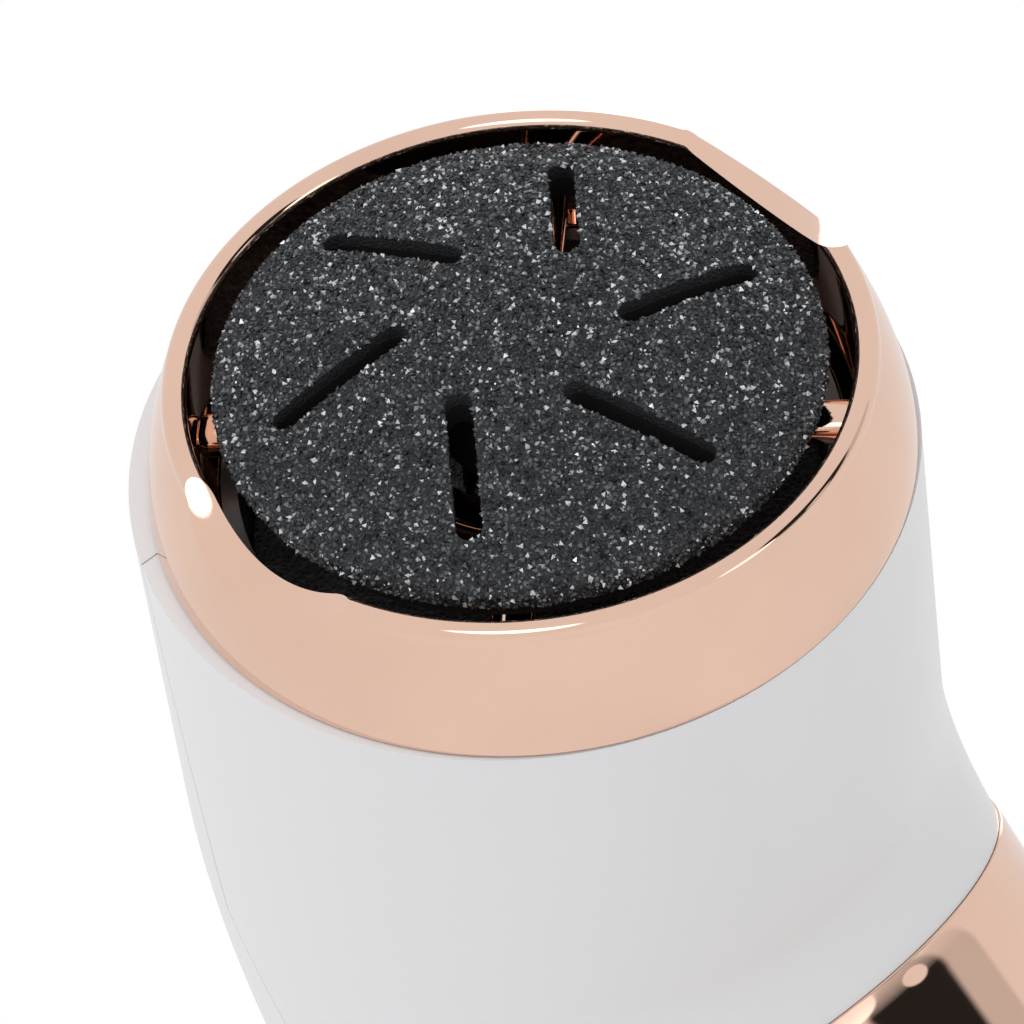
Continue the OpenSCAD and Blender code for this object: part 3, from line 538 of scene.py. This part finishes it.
def sleeve(name):
    """Shrink sleeve over a steel can: taut film with small wrinkles, and painted shade in their hollows."""
    finish = Finish(name)
    finish.put(Coat_Weight=0.4, Coat_Roughness=0.1)
    wrinkles = finish.noise(90.0, 6.0, 0.7, stretch=(1, 1, 0.2))
    # painted shade: the film's colour is darker in the wrinkles' hollows, where the relief is lowest
    finish.colour(finish.ramp(wrinkles, (0.3, (0.02, 0.1, 0.3)), (0.7, (0.04, 0.16, 0.42))))
    finish.roughness(finish.spread(wrinkles, 0.25, 0.4))
    finish.bump(wrinkles, 0.4, 0.1 * MM)
    return finish.material


def frosted(name):
    """Frosted light pipe: milky, with a fine etched skin."""
    finish = Finish(name)
    finish.put(Transmission_Weight=0.35, IOR=1.49)
    milk = finish.noise(300.0, 4.0)
    finish.colour(finish.ramp(milk, (0.3, (0.72, 0.75, 0.78)), (0.7, (0.84, 0.87, 0.9))))
    finish.roughness(finish.spread(finish.noise(900.0), 0.4, 0.6))
    finish.bump(finish.noise(2500.0, 2.0), 0.3, 0.01 * MM)
    return finish.material


def finish_for(slot):
    """The material of a slot of the record, made once."""
    name = slot + "_finish"
    made = bpy.data.materials.get(name)
    if made:
        return made
    kit = settings()
    recipes = {
        "abrasive": lambda: grit_bed(name, kit.disc),
        "white_plastic": lambda: moulded(name, tuple(kit.casing.white), 0.25, 0.27, relief=0.0005,
                                         variation=0.004, coat=0.25),
        "rose_gold_plating": lambda: plating(name, tuple(kit.ring.colour)),
        "black_plastic": lambda: moulded(name, tuple(kit.casing.black), 0.35, 0.6, relief=0.05,
                                         variation=0.2),
        "smoke_plastic": lambda: moulded(name, tuple(kit.casing.smoke), 0.12, 0.3, variation=0.15),
        "gear_plastic": lambda: moulded(name, (0.66, 0.65, 0.58), 0.4, 0.6, variation=0.05),
        "bright_steel": lambda: turned(name, (0.6, 0.6, 0.62), 0.16, 0.34),
        "bronze": lambda: turned(name, (0.6, 0.4, 0.2), 0.35, 0.6, (1, 1, 1)),
        "copper_winding": lambda: winding(name),
        "ferrite": lambda: matt(name, (0.06, 0.06, 0.065), 0.6, 0.85, 900.0, 0.03).material,
        "filter_foam": lambda: foam(name),
        "black_rubber": lambda: matt(name, (0.022, 0.022, 0.022), 0.6, 0.85, 1100.0, 0.04).material,
        "board_green": lambda: board(name),
        "cell_wrap": lambda: sleeve(name),
        "frosted_lens": lambda: frosted(name),
        "led_package": lambda: moulded(name, (0.85, 0.8, 0.55), 0.2, 0.4),
    }
    if slot not in recipes:
        raise RuntimeError(f"no finish for the slot {slot}")
    return recipes[slot]()


def finish_nodes(names):
    """Gives CAD nodes the finish of their slot."""
    slots = {part["node"]: part["material_slot"] for part in frame["record"]["subparts"]}
    for name in names:
        mesh = NODES[name].data
        mesh.materials.clear()
        mesh.materials.append(finish_for(slots[name]))


# ---------------------------------------------------------------- disc

def dome_level(disc, radius, depth=0.0):
    """Height of the dome, or of the surface a depth below it, at a distance from the axis."""
    sphere = (disc.radius ** 2 + disc.dome ** 2) / (2 * disc.dome)
    centre = disc.edge_height + disc.dome - sphere
    return centre + math.sqrt((sphere - depth) ** 2 - radius ** 2), math.asin(radius / sphere)


def disc_outline(disc):
    """Half section of the disc, from the axis over the dome and the rounded rim, and back below."""
    steps, turns = 44, 6
    tilt = dome_level(disc, disc.radius)[1]
    last = disc.radius - disc.edge_round * (1 - math.sin(tilt))
    top = [(last * i / steps, dome_level(disc, last * i / steps)[0]) for i in range(steps + 1)]
    height, tilt = dome_level(disc, last)
    middle = (last - disc.edge_round * math.sin(tilt), height - disc.edge_round * math.cos(tilt))
    start = math.pi / 2 - tilt
    rim = [(middle[0] + disc.edge_round * math.cos(start * (1 - i / turns)),
            middle[1] + disc.edge_round * math.sin(start * (1 - i / turns))) for i in range(1, turns + 1)]
    depth = disc.thickness - 0.02 * MM
    below = [(disc.radius * i / steps, dome_level(disc, disc.radius * i / steps, depth)[0])
             for i in range(steps, -1, -1)]
    return top + rim + below


def slot_cutters(disc):
    """Six obround prisms that cut the pinwheel slots."""
    form = bmesh.new()
    inner = math.sqrt(disc.slot_inner ** 2 - disc.slot_offset ** 2) + disc.slot_width / 2
    outer = math.sqrt(disc.slot_outer ** 2 - disc.slot_offset ** 2) - disc.slot_width / 2
    low = disc.edge_height - 2 * disc.dome
    for i in range(disc.slots):
        made = bmesh.ops.create_circle(form, cap_ends=True, segments=34, radius=disc.slot_width / 2)["verts"]
        far = [vert for vert in made if vert.co.x > 0]
        bmesh.ops.translate(form, verts=far, vec=(outer - inner, 0, 0))
        bmesh.ops.translate(form, verts=made, vec=(inner, -disc.slot_offset, low))
        bmesh.ops.rotate(form, verts=made, cent=(0, 0, 0),
                         matrix=Matrix.Rotation(disc.slot_turn + i * 2 * math.pi / disc.slots, 3, "Z"))
        caps = list({face for vert in made for face in vert.link_faces})
        walls = bmesh.ops.extrude_face_region(form, geom=caps)["geom"]
        raised = [part for part in walls if isinstance(part, bmesh.types.BMVert)]
        bmesh.ops.translate(form, verts=raised, vec=(0, 0, 4 * disc.dome))
    bmesh.ops.recalc_face_normals(form, faces=form.faces)
    return form


def grit_skin(shell, keep):
    """A copy of the disc's faces that pass a test, to scatter grains on."""
    form = bmesh.new()
    form.from_mesh(shell.data)
    form.normal_update()
    spare = [face for face in form.faces if not keep(face)]
    bmesh.ops.delete(form, geom=spare, context="FACES")
    return form


def scatter(name, skin, size, gap, seed, material):
    """Covers a skin with crystals, kept a least distance apart, each with its own turn, size and tone."""
    base = bmesh.new()
    bmesh.ops.create_uvsphere(base, u_segments=4, v_segments=2, radius=1.0)
    for vert in base.verts:
        vert.co.x *= 1.0 + 0.25 * vert.co.z
        vert.co.y *= 1.0 - 0.3 * vert.co.x
    grain = add_piece(name + "_grain", base, material, smooth=0.0)
    piece = add_piece(name, skin, material)

    tree = bpy.data.node_groups.new(name, "GeometryNodeTree")
    tree.interface.new_socket("Geometry", in_out="INPUT", socket_type="NodeSocketGeometry")
    tree.interface.new_socket("Geometry", in_out="OUTPUT", socket_type="NodeSocketGeometry")
    start = tree.nodes.new("NodeGroupInput")
    end = tree.nodes.new("NodeGroupOutput")
    points = tree.nodes.new("GeometryNodeDistributePointsOnFaces")
    points.distribute_method = "POISSON"
    points.inputs["Distance Min"].default_value = gap
    points.inputs["Density Max"].default_value = 3.0 / gap ** 2
    points.inputs["Seed"].default_value = seed
    source = tree.nodes.new("GeometryNodeObjectInfo")
    source.inputs["Object"].default_value = grain
    turn = tree.nodes.new("FunctionNodeRandomValue")
    turn.data_type = "FLOAT_VECTOR"
    turn.inputs[0].default_value = (0.0, 0.0, 0.0)
    turn.inputs[1].default_value = (2 * math.pi,) * 3
    turn.inputs["Seed"].default_value = seed + 1
    scale = tree.nodes.new("FunctionNodeRandomValue")
    scale.data_type = "FLOAT_VECTOR"
    scale.inputs[0].default_value = (0.55 * size,) * 3
    scale.inputs[1].default_value = (1.45 * size,) * 3
    scale.inputs["Seed"].default_value = seed + 2
    place = tree.nodes.new("GeometryNodeInstanceOnPoints")
    tone = tree.nodes.new("FunctionNodeRandomValue")
    tone.data_type = "FLOAT"
    tone.inputs["Seed"].default_value = seed + 3
    store = tree.nodes.new("GeometryNodeStoreNamedAttribute")
    store.data_type = "FLOAT"
    store.domain = "INSTANCE"
    store.inputs["Name"].default_value = "grain_tone"
    real = tree.nodes.new("GeometryNodeRealizeInstances")
    join = tree.links.new
    join(start.outputs[0], points.inputs["Mesh"])
    join(points.outputs["Points"], place.inputs["Points"])
    join(source.outputs["Geometry"], place.inputs["Instance"])
    join(turn.outputs[0], place.inputs["Rotation"])
    join(scale.outputs[0], place.inputs["Scale"])
    join(place.outputs["Instances"], store.inputs["Geometry"])
    join(tone.outputs[1], store.inputs["Value"])
    join(store.outputs["Geometry"], real.inputs["Geometry"])
    join(real.outputs["Geometry"], end.inputs[0])
    piece.modifiers.new("Grains", "NODES").node_group = tree
    settle(piece)
    piece.data.materials.clear()
    piece.data.materials.append(material)
    bpy.data.node_groups.remove(tree)
    discard(grain)
    if not piece.data.polygons:
        raise RuntimeError(f"{name} has no grains")
    return piece


class MakeDisc(bpy.types.Operator):
    """Make the domed disc with its slots, and cover it with abrasive grains"""

    bl_idname = "remover.make_disc"
    bl_label = "Grit Disc"

    def execute(self, context):
        disc = settings().disc
        form = revolve(disc_outline(disc), 240, closed=False)
        shell = add_piece("grit_disc", form, finish_for("abrasive"))
        cutter = add_piece("slot_cutter", slot_cutters(disc), finish_for("abrasive"))
        cut(shell, cutter)
        shell.data.shade_smooth()
        shell.data.set_sharp_from_angle(angle=math.radians(40))
        edge = disc.radius - disc.edge_round

        def outside(face):
            centre = face.calc_center_median()
            return face.normal.z > 0.3 or (face.normal.z > -0.3 and centre.xy.length > edge)

        crystals = grit_grain("grit_crystals", disc)
        coarse = scatter("grit_coarse", grit_skin(shell, outside), disc.grain, disc.grain_gap, 11, crystals)
        fine = scatter("grit_fine", grit_skin(shell, outside), disc.dust, disc.dust_gap, 37, crystals)
        for piece in (shell, coarse, fine):
            piece.data.transform(AT_HEAD)
            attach(piece, "disc")
        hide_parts("abrasive_disc")
        finish_nodes(["abrasive_disc", "carrier_magnet"])
        # painted shade: the disc carrier gets a near-black matt finish, darker than the black plastic, so the
        # slots show as black shade
        shaded_web = matt("carrier_web", (0.006, 0.005, 0.005), 0.8, 0.95, 1500.0, 0.03)
        carrier = NODES["disc_carrier"].data
        carrier.materials.clear()
        carrier.materials.append(shaded_web.material)
        return {"FINISHED"}


# ---------------------------------------------------------------- ring and belt

def ring_outline(ring):
    """Section of the ring: convex flank, rounded lip, straight bore and a grooved spigot."""
    steps = 28
    lip = ring.lip / 2
    flank = ring.height - lip
    foot = ring.bore + ring.lip + ring.flare
    outside = [(foot - ring.flare * (i / steps) ** 1.7, flank * i / steps) for i in range(steps + 1)]
    rounded = [(ring.bore + lip + lip * math.cos(math.pi * i / steps),
                flank + lip * math.sin(math.pi * i / steps))
               for i in range(1, steps + 1)]
    groove = ring.spigot - ring.groove_depth
    inside = [(ring.bore, ring.spoke_level - ring.step), (ring.spigot_bore, ring.spoke_level - 2 * ring.step),
              (ring.spigot_bore, -ring.spigot_length), (ring.spigot, -ring.spigot_length),
              (ring.spigot, -ring.groove_low), (groove, -ring.groove_low), (groove, -ring.groove_high),
              (ring.spigot, -ring.groove_high), (ring.spigot, 0.0)]
    return outside + rounded + inside


def scoop_cutters(ring):
    """Two round bars that cut the finger scoops, sloping down and outwards."""
    form = bmesh.new()
    for side in (0.0, math.pi):
        place = (Matrix.Rotation(side, 4, "Z")
                 @ Matrix.Translation((ring.bore, 0, ring.height - ring.scoop_depth))
                 @ Matrix.Rotation(math.pi / 2 + ring.scoop_slope, 4, "Y")
                 @ Matrix.Translation((-ring.scoop_radius, 0, 0)))
        bmesh.ops.create_cone(form, cap_ends=True, segments=480, radius1=ring.scoop_radius,
                              radius2=ring.scoop_radius, depth=ring.bore, matrix=place)
    return form


class MakeRing(bpy.types.Operator):
    """Make the plated ring with its two finger scoops, and the spokes behind the disc"""

    bl_idname = "remover.make_ring"
    bl_label = "Plated Ring"

    def execute(self, context):
        ring = settings().ring
        plated = finish_for("rose_gold_plating")
        form = revolve(ring_outline(ring), 360)
        bevel_creases(form, 0.14 * MM, 3)
        body = add_piece("plated_ring", form, plated)
        cut(body, add_piece("scoop_cutter", scoop_cutters(ring), plated))
        form = bmesh.new()
        form.from_mesh(body.data)
        bmesh.ops.remove_doubles(form, verts=form.verts, dist=0.004 * MM)
        bmesh.ops.dissolve_degenerate(form, dist=0.002 * MM, edges=form.edges)
        form.to_mesh(body.data)
        form.free()
        soft = body.modifiers.new("Scoop edges", "BEVEL")
        soft.width = 0.12 * MM
        soft.segments = 3
        soft.limit_method = "ANGLE"
        soft.angle_limit = math.radians(24)
        settle(body, math.radians(30))

        form = bmesh.new()
        top = ring.spoke_level + ring.spoke_depth
        reach = ring.bore - ring.spoke_hub - ring.spoke_rim / 2 + 0.3 * MM
        for i in range(4):
            place = (Matrix.Rotation(math.pi / 4 + i * math.pi / 2, 4, "Z")
                     @ Matrix.Translation((ring.spoke_hub + ring.spoke_rim / 2 + reach / 2, 0,
                                           (ring.spoke_level + top) / 2))
                     @ Matrix.Diagonal((reach, ring.spoke_width, ring.spoke_depth, 1)))
            bmesh.ops.create_cube(form, size=1.0, matrix=place)
        bevel_creases(form, 1.25 * MM, 8)
        spokes = add_piece("ring_spokes", form, plated)
        wide = ring.spoke_hub + ring.spoke_rim
        hub = revolve([(ring.spoke_hub, ring.spoke_level), (wide, ring.spoke_level), (wide, top),
                       (ring.spoke_hub, top)], 128)
        bevel_creases(hub, 1.2 * MM, 8)
        boss = add_piece("ring_hub", hub, plated)
        for piece in (body, spokes, boss):
            piece.data.transform(AT_HEAD)
            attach(piece, "housing")
        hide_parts("bezel_ring")
        finish_nodes(["bezel_ring"])
        return {"FINISHED"}


class MakeBelt(bpy.types.Operator):
    """Make the plated belt, with rounded edges"""

    bl_idname = "remover.make_belt"
    bl_label = "Waist Belt"

    def execute(self, context):
        belt = settings().belt
        form = bmesh.new()
        for radius in (belt.radius, belt.radius - belt.thickness):
            bmesh.ops.create_circle(form, cap_ends=False, segments=256, radius=radius)
        bmesh.ops.bridge_loops(form, edges=form.edges[:])
        bmesh.ops.translate(form, verts=form.verts, vec=(0, 0, belt.bend_start - belt.straight))
        rise = Matrix.Translation((0, 0, belt.straight / belt.straight_steps))
        middle = Matrix.Translation((0, -belt.bend_radius, belt.bend_start))
        turn = middle @ Matrix.Rotation(belt.angle / belt.bend_steps, 4, "X") @ middle.inverted()
        moving = raise_faces(form, list(form.faces), rise)
        for step in [rise] * (belt.straight_steps - 1) + [turn] * belt.bend_steps:
            start = moving
            moving = raise_faces(form, start, step)
            bmesh.ops.delete(form, geom=start, context="FACES")
        bmesh.ops.recalc_face_normals(form, faces=form.faces)
        bevel_creases(form, belt.edge, 4, math.radians(60))
        piece = add_piece("plated_belt", form, finish_for("rose_gold_plating"))
        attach(piece, "housing")
        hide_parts("waist_belt")
        finish_nodes(["waist_belt"])
        return {"FINISHED"}


# ---------------------------------------------------------------- carried-over nodes

class MakeSponge(bpy.types.Operator):
    """Make the dust filter's open foam"""

    bl_idname = "remover.make_sponge"
    bl_label = "Filter Sponge"

    def execute(self, context):
        form = bmesh.new()
        form.from_mesh(NODES["filter_sponge"].data)
        bmesh.ops.remove_doubles(form, verts=form.verts, dist=0.001 * MM)
        piece = add_piece("filter_foam_ring", form, finish_for("filter_foam"))
        blocks = piece.modifiers.new("Even mesh", "REMESH")
        blocks.mode = "VOXEL"
        blocks.voxel_size = 0.5 * MM
        settle(piece, math.pi)
        pores = bpy.data.textures.new("pores", "CLOUDS")
        pores.noise_scale = 1.2 * MM
        crumple = piece.modifiers.new("Pores", "DISPLACE")
        crumple.texture = pores
        crumple.texture_coords = "LOCAL"
        crumple.strength = 0.5 * MM
        crumple.mid_level = 0.9
        settle(piece, math.pi)
        piece.data.materials.clear()
        piece.data.materials.append(finish_for("filter_foam"))
        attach(piece, "housing")
        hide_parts("filter_sponge")
        finish_nodes(["filter_sponge"])
        return {"FINISHED"}


class FinishCasing(bpy.types.Operator):
    """Finish the casing, the base and their screws"""

    bl_idname = "remover.finish_casing"
    bl_label = "Casing"

    def execute(self, context):
        finish_nodes(["head_shell_front", "head_shell_back", "handle_front_shell", "handle_rear_shell",
                      "shell_screws", "base_cap", "base_foot", "bezel_seal", "dust_cup"])
        return {"FINISHED"}


class FinishControls(bpy.types.Operator):
    """Finish the button, the indicator and the charging socket"""

    bl_idname = "remover.finish_controls"
    bl_label = "Controls"

    def execute(self, context):
        finish_nodes(["power_button", "button_bezel", "switch_body", "switch_plunger", "indicator_lens",
                      "indicator_leds", "charging_socket"])
        return {"FINISHED"}


class FinishDrive(bpy.types.Operator):
    """Finish the drive, the motor and the fan"""

    bl_idname = "remover.finish_drive"
    bl_label = "Drive"

    def execute(self, context):
        finish_nodes(["drive_hub", "spindle", "spindle_gear", "bearing_inner_race", "bearing_balls",
                      "bearing_outer_race", "rear_bush", "gearbox_housing", "gearbox_plate", "gearbox_screws",
                      "motor_screws", "motor_can", "motor_magnets", "motor_armature", "motor_shaft",
                      "motor_brushes", "motor_end_cap", "motor_pinion", "fan_impeller", "fan_shroud"])
        return {"FINISHED"}


class FinishPower(bpy.types.Operator):
    """Finish the cell, its holder and the board"""

    bl_idname = "remover.finish_power"
    bl_label = "Power"

    def execute(self, context):
        finish_nodes(["circuit_board", "battery_cell", "battery_holder"])
        return {"FINISHED"}


# ---------------------------------------------------------------- stage

def softbox(name, place, target, size, power):
    """A square soft light that points at a target. It isn't seen in reflections."""
    light = bpy.data.lights.new(name, "AREA")
    light.shape = "SQUARE"
    light.size = size
    light.energy = power
    lamp = bpy.data.objects.new(name, light)
    bpy.context.scene.collection.objects.link(lamp)
    lamp.location = place
    lamp.visible_glossy = False
    lamp.rotation_mode = "QUATERNION"
    lamp.rotation_quaternion = (Vector(target) - Vector(place)).to_track_quat("-Z", "Y")
    return lamp


def light_tent(scene, stage):
    """White surroundings with bright and dark panels, in front of an even white backdrop."""
    world = bpy.data.worlds.new("studio")
    scene.world = world
    world.use_nodes = True
    tree = world.node_tree
    join = tree.links.new
    backdrop = tree.nodes["Background"]
    backdrop.inputs["Strength"].default_value = stage.backdrop
    backdrop.inputs["Color"].default_value = (1, 1, 1, 1)
    direction = tree.nodes.new("ShaderNodeTexCoord")
    level = None
    for name, towards, size, brightness in PANELS:
        aim = tree.nodes.new("ShaderNodeVectorMath")
        aim.label = name
        aim.operation = "DOT_PRODUCT"
        aim.inputs[1].default_value = Vector(towards).normalized()
        join(direction.outputs["Generated"], aim.inputs[0])
        inside = tree.nodes.new("ShaderNodeMapRange")
        inside.interpolation_type = "SMOOTHSTEP"
        inside.inputs["From Min"].default_value = math.cos(size * (1 + stage.edge))
        inside.inputs["From Max"].default_value = math.cos(size)
        join(aim.outputs["Value"], inside.inputs["Value"])
        blend = tree.nodes.new("ShaderNodeMix")
        join(inside.outputs["Result"], blend.inputs["Factor"])
        blend.inputs["A"].default_value = stage.tent
        blend.inputs["B"].default_value = brightness
        if level:
            join(level, blend.inputs["A"])
        level = blend.outputs["Result"]
    tent = tree.nodes.new("ShaderNodeBackground")
    join(level, tent.inputs["Strength"])
    tent.inputs["Color"].default_value = (1, 1, 1, 1)
    sight = tree.nodes.new("ShaderNodeLightPath")
    mix = tree.nodes.new("ShaderNodeMixShader")
    join(sight.outputs["Is Camera Ray"], mix.inputs["Fac"])
    join(tent.outputs["Background"], mix.inputs[1])
    join(backdrop.outputs["Background"], mix.inputs[2])
    join(mix.outputs["Shader"], tree.nodes["World Output"].inputs["Surface"])


class MakeStage(bpy.types.Operator):
    """Make the floor, the white surroundings, the lights and the camera"""

    bl_idname = "remover.make_stage"
    bl_label = "Stage"

    def execute(self, context):
        stage = settings().stage
        scene = context.scene
        scene.view_settings.view_transform = "Standard"

        pale = Finish("studio_floor")
        pale.put(Roughness=0.7)
        cloud = pale.noise(6.0)
        pale.colour(pale.ramp(cloud, (0.3, (0.86, 0.86, 0.86)), (0.7, (0.9, 0.9, 0.9))))
        reach = pale.tree.nodes.new("ShaderNodeVectorMath")
        reach.operation = "LENGTH"
        pale.link(pale.place.outputs["Object"], reach.inputs[0])
        fade = pale.spread(reach.outputs["Value"], 1.0, 0.0, stage.fade_start, stage.fade_end)
        pale.link(fade, pale.shader.inputs["Alpha"])
        form = bmesh.new()
        bmesh.ops.create_circle(form, cap_ends=True, segments=96, radius=stage.floor_radius)
        floor = add_piece("floor", form, pale.material)
        floor.data.transform(Matrix.Translation((0, 0, -0.02 * MM)))

        light_tent(scene, stage)
        target = Vector(stage.target)
        softbox("key_light", target + Vector(stage.key_place), target, stage.key_size, stage.key)

        camera = bpy.data.cameras.new("camera")
        camera.lens = stage.lens
        camera.sensor_width = 36.0
        camera.clip_start = 0.01
        camera.clip_end = 20.0
        rig = bpy.data.objects.new("camera", camera)
        scene.collection.objects.link(rig)
        level = math.cos(stage.elevation)
        back = Vector((math.cos(stage.azimuth) * level, math.sin(stage.azimuth) * level,
                       math.sin(stage.elevation)))
        rig.location = target + back * stage.distance
        rig.rotation_mode = "QUATERNION"
        rig.rotation_quaternion = ((-back).to_track_quat("-Z", "Y")
                                   @ Matrix.Rotation(-stage.roll, 3, "Z").to_quaternion())
        scene.camera = rig
        return {"FINISHED"}


# ---------------------------------------------------------------- panel and registration

class RemoverSettings(bpy.types.PropertyGroup):
    """All the settings of the callus remover"""

    disc: PointerProperty(type=RemoverDiscSettings)
    ring: PointerProperty(type=RemoverRingSettings)
    belt: PointerProperty(type=RemoverBeltSettings)
    casing: PointerProperty(type=RemoverCasingSettings)
    stage: PointerProperty(type=RemoverStageSettings)


MAKERS = (MakeStage, MakeDisc, MakeRing, MakeBelt, MakeSponge, FinishCasing, FinishControls, FinishDrive,
          FinishPower)


class RemoverPanel(bpy.types.Panel):
    """Lists the steps that build the callus remover"""

    bl_idname = "VIEW3D_PT_remover"
    bl_label = "Callus Remover"
    bl_space_type = "VIEW_3D"
    bl_region_type = "UI"
    bl_category = "Callus Remover"

    def draw(self, context):
        for maker in MAKERS:
            self.layout.operator(maker.bl_idname)


CLASSES = (RemoverDiscSettings, RemoverRingSettings, RemoverBeltSettings, RemoverCasingSettings,
           RemoverStageSettings, RemoverSettings, *MAKERS, RemoverPanel)


def register():
    """Registers the classes and the settings."""
    for cls in CLASSES:
        bpy.utils.register_class(cls)
    bpy.types.Scene.remover = PointerProperty(type=RemoverSettings)


def unregister():
    """Removes the settings and the classes."""
    del bpy.types.Scene.remover
    for cls in reversed(CLASSES):
        bpy.utils.unregister_class(cls)


def main():
    """Builds everything."""
    register()
    for maker in MAKERS:
        getattr(bpy.ops.remover, maker.bl_idname.split(".")[1])()


if __name__ == "__main__":
    main()
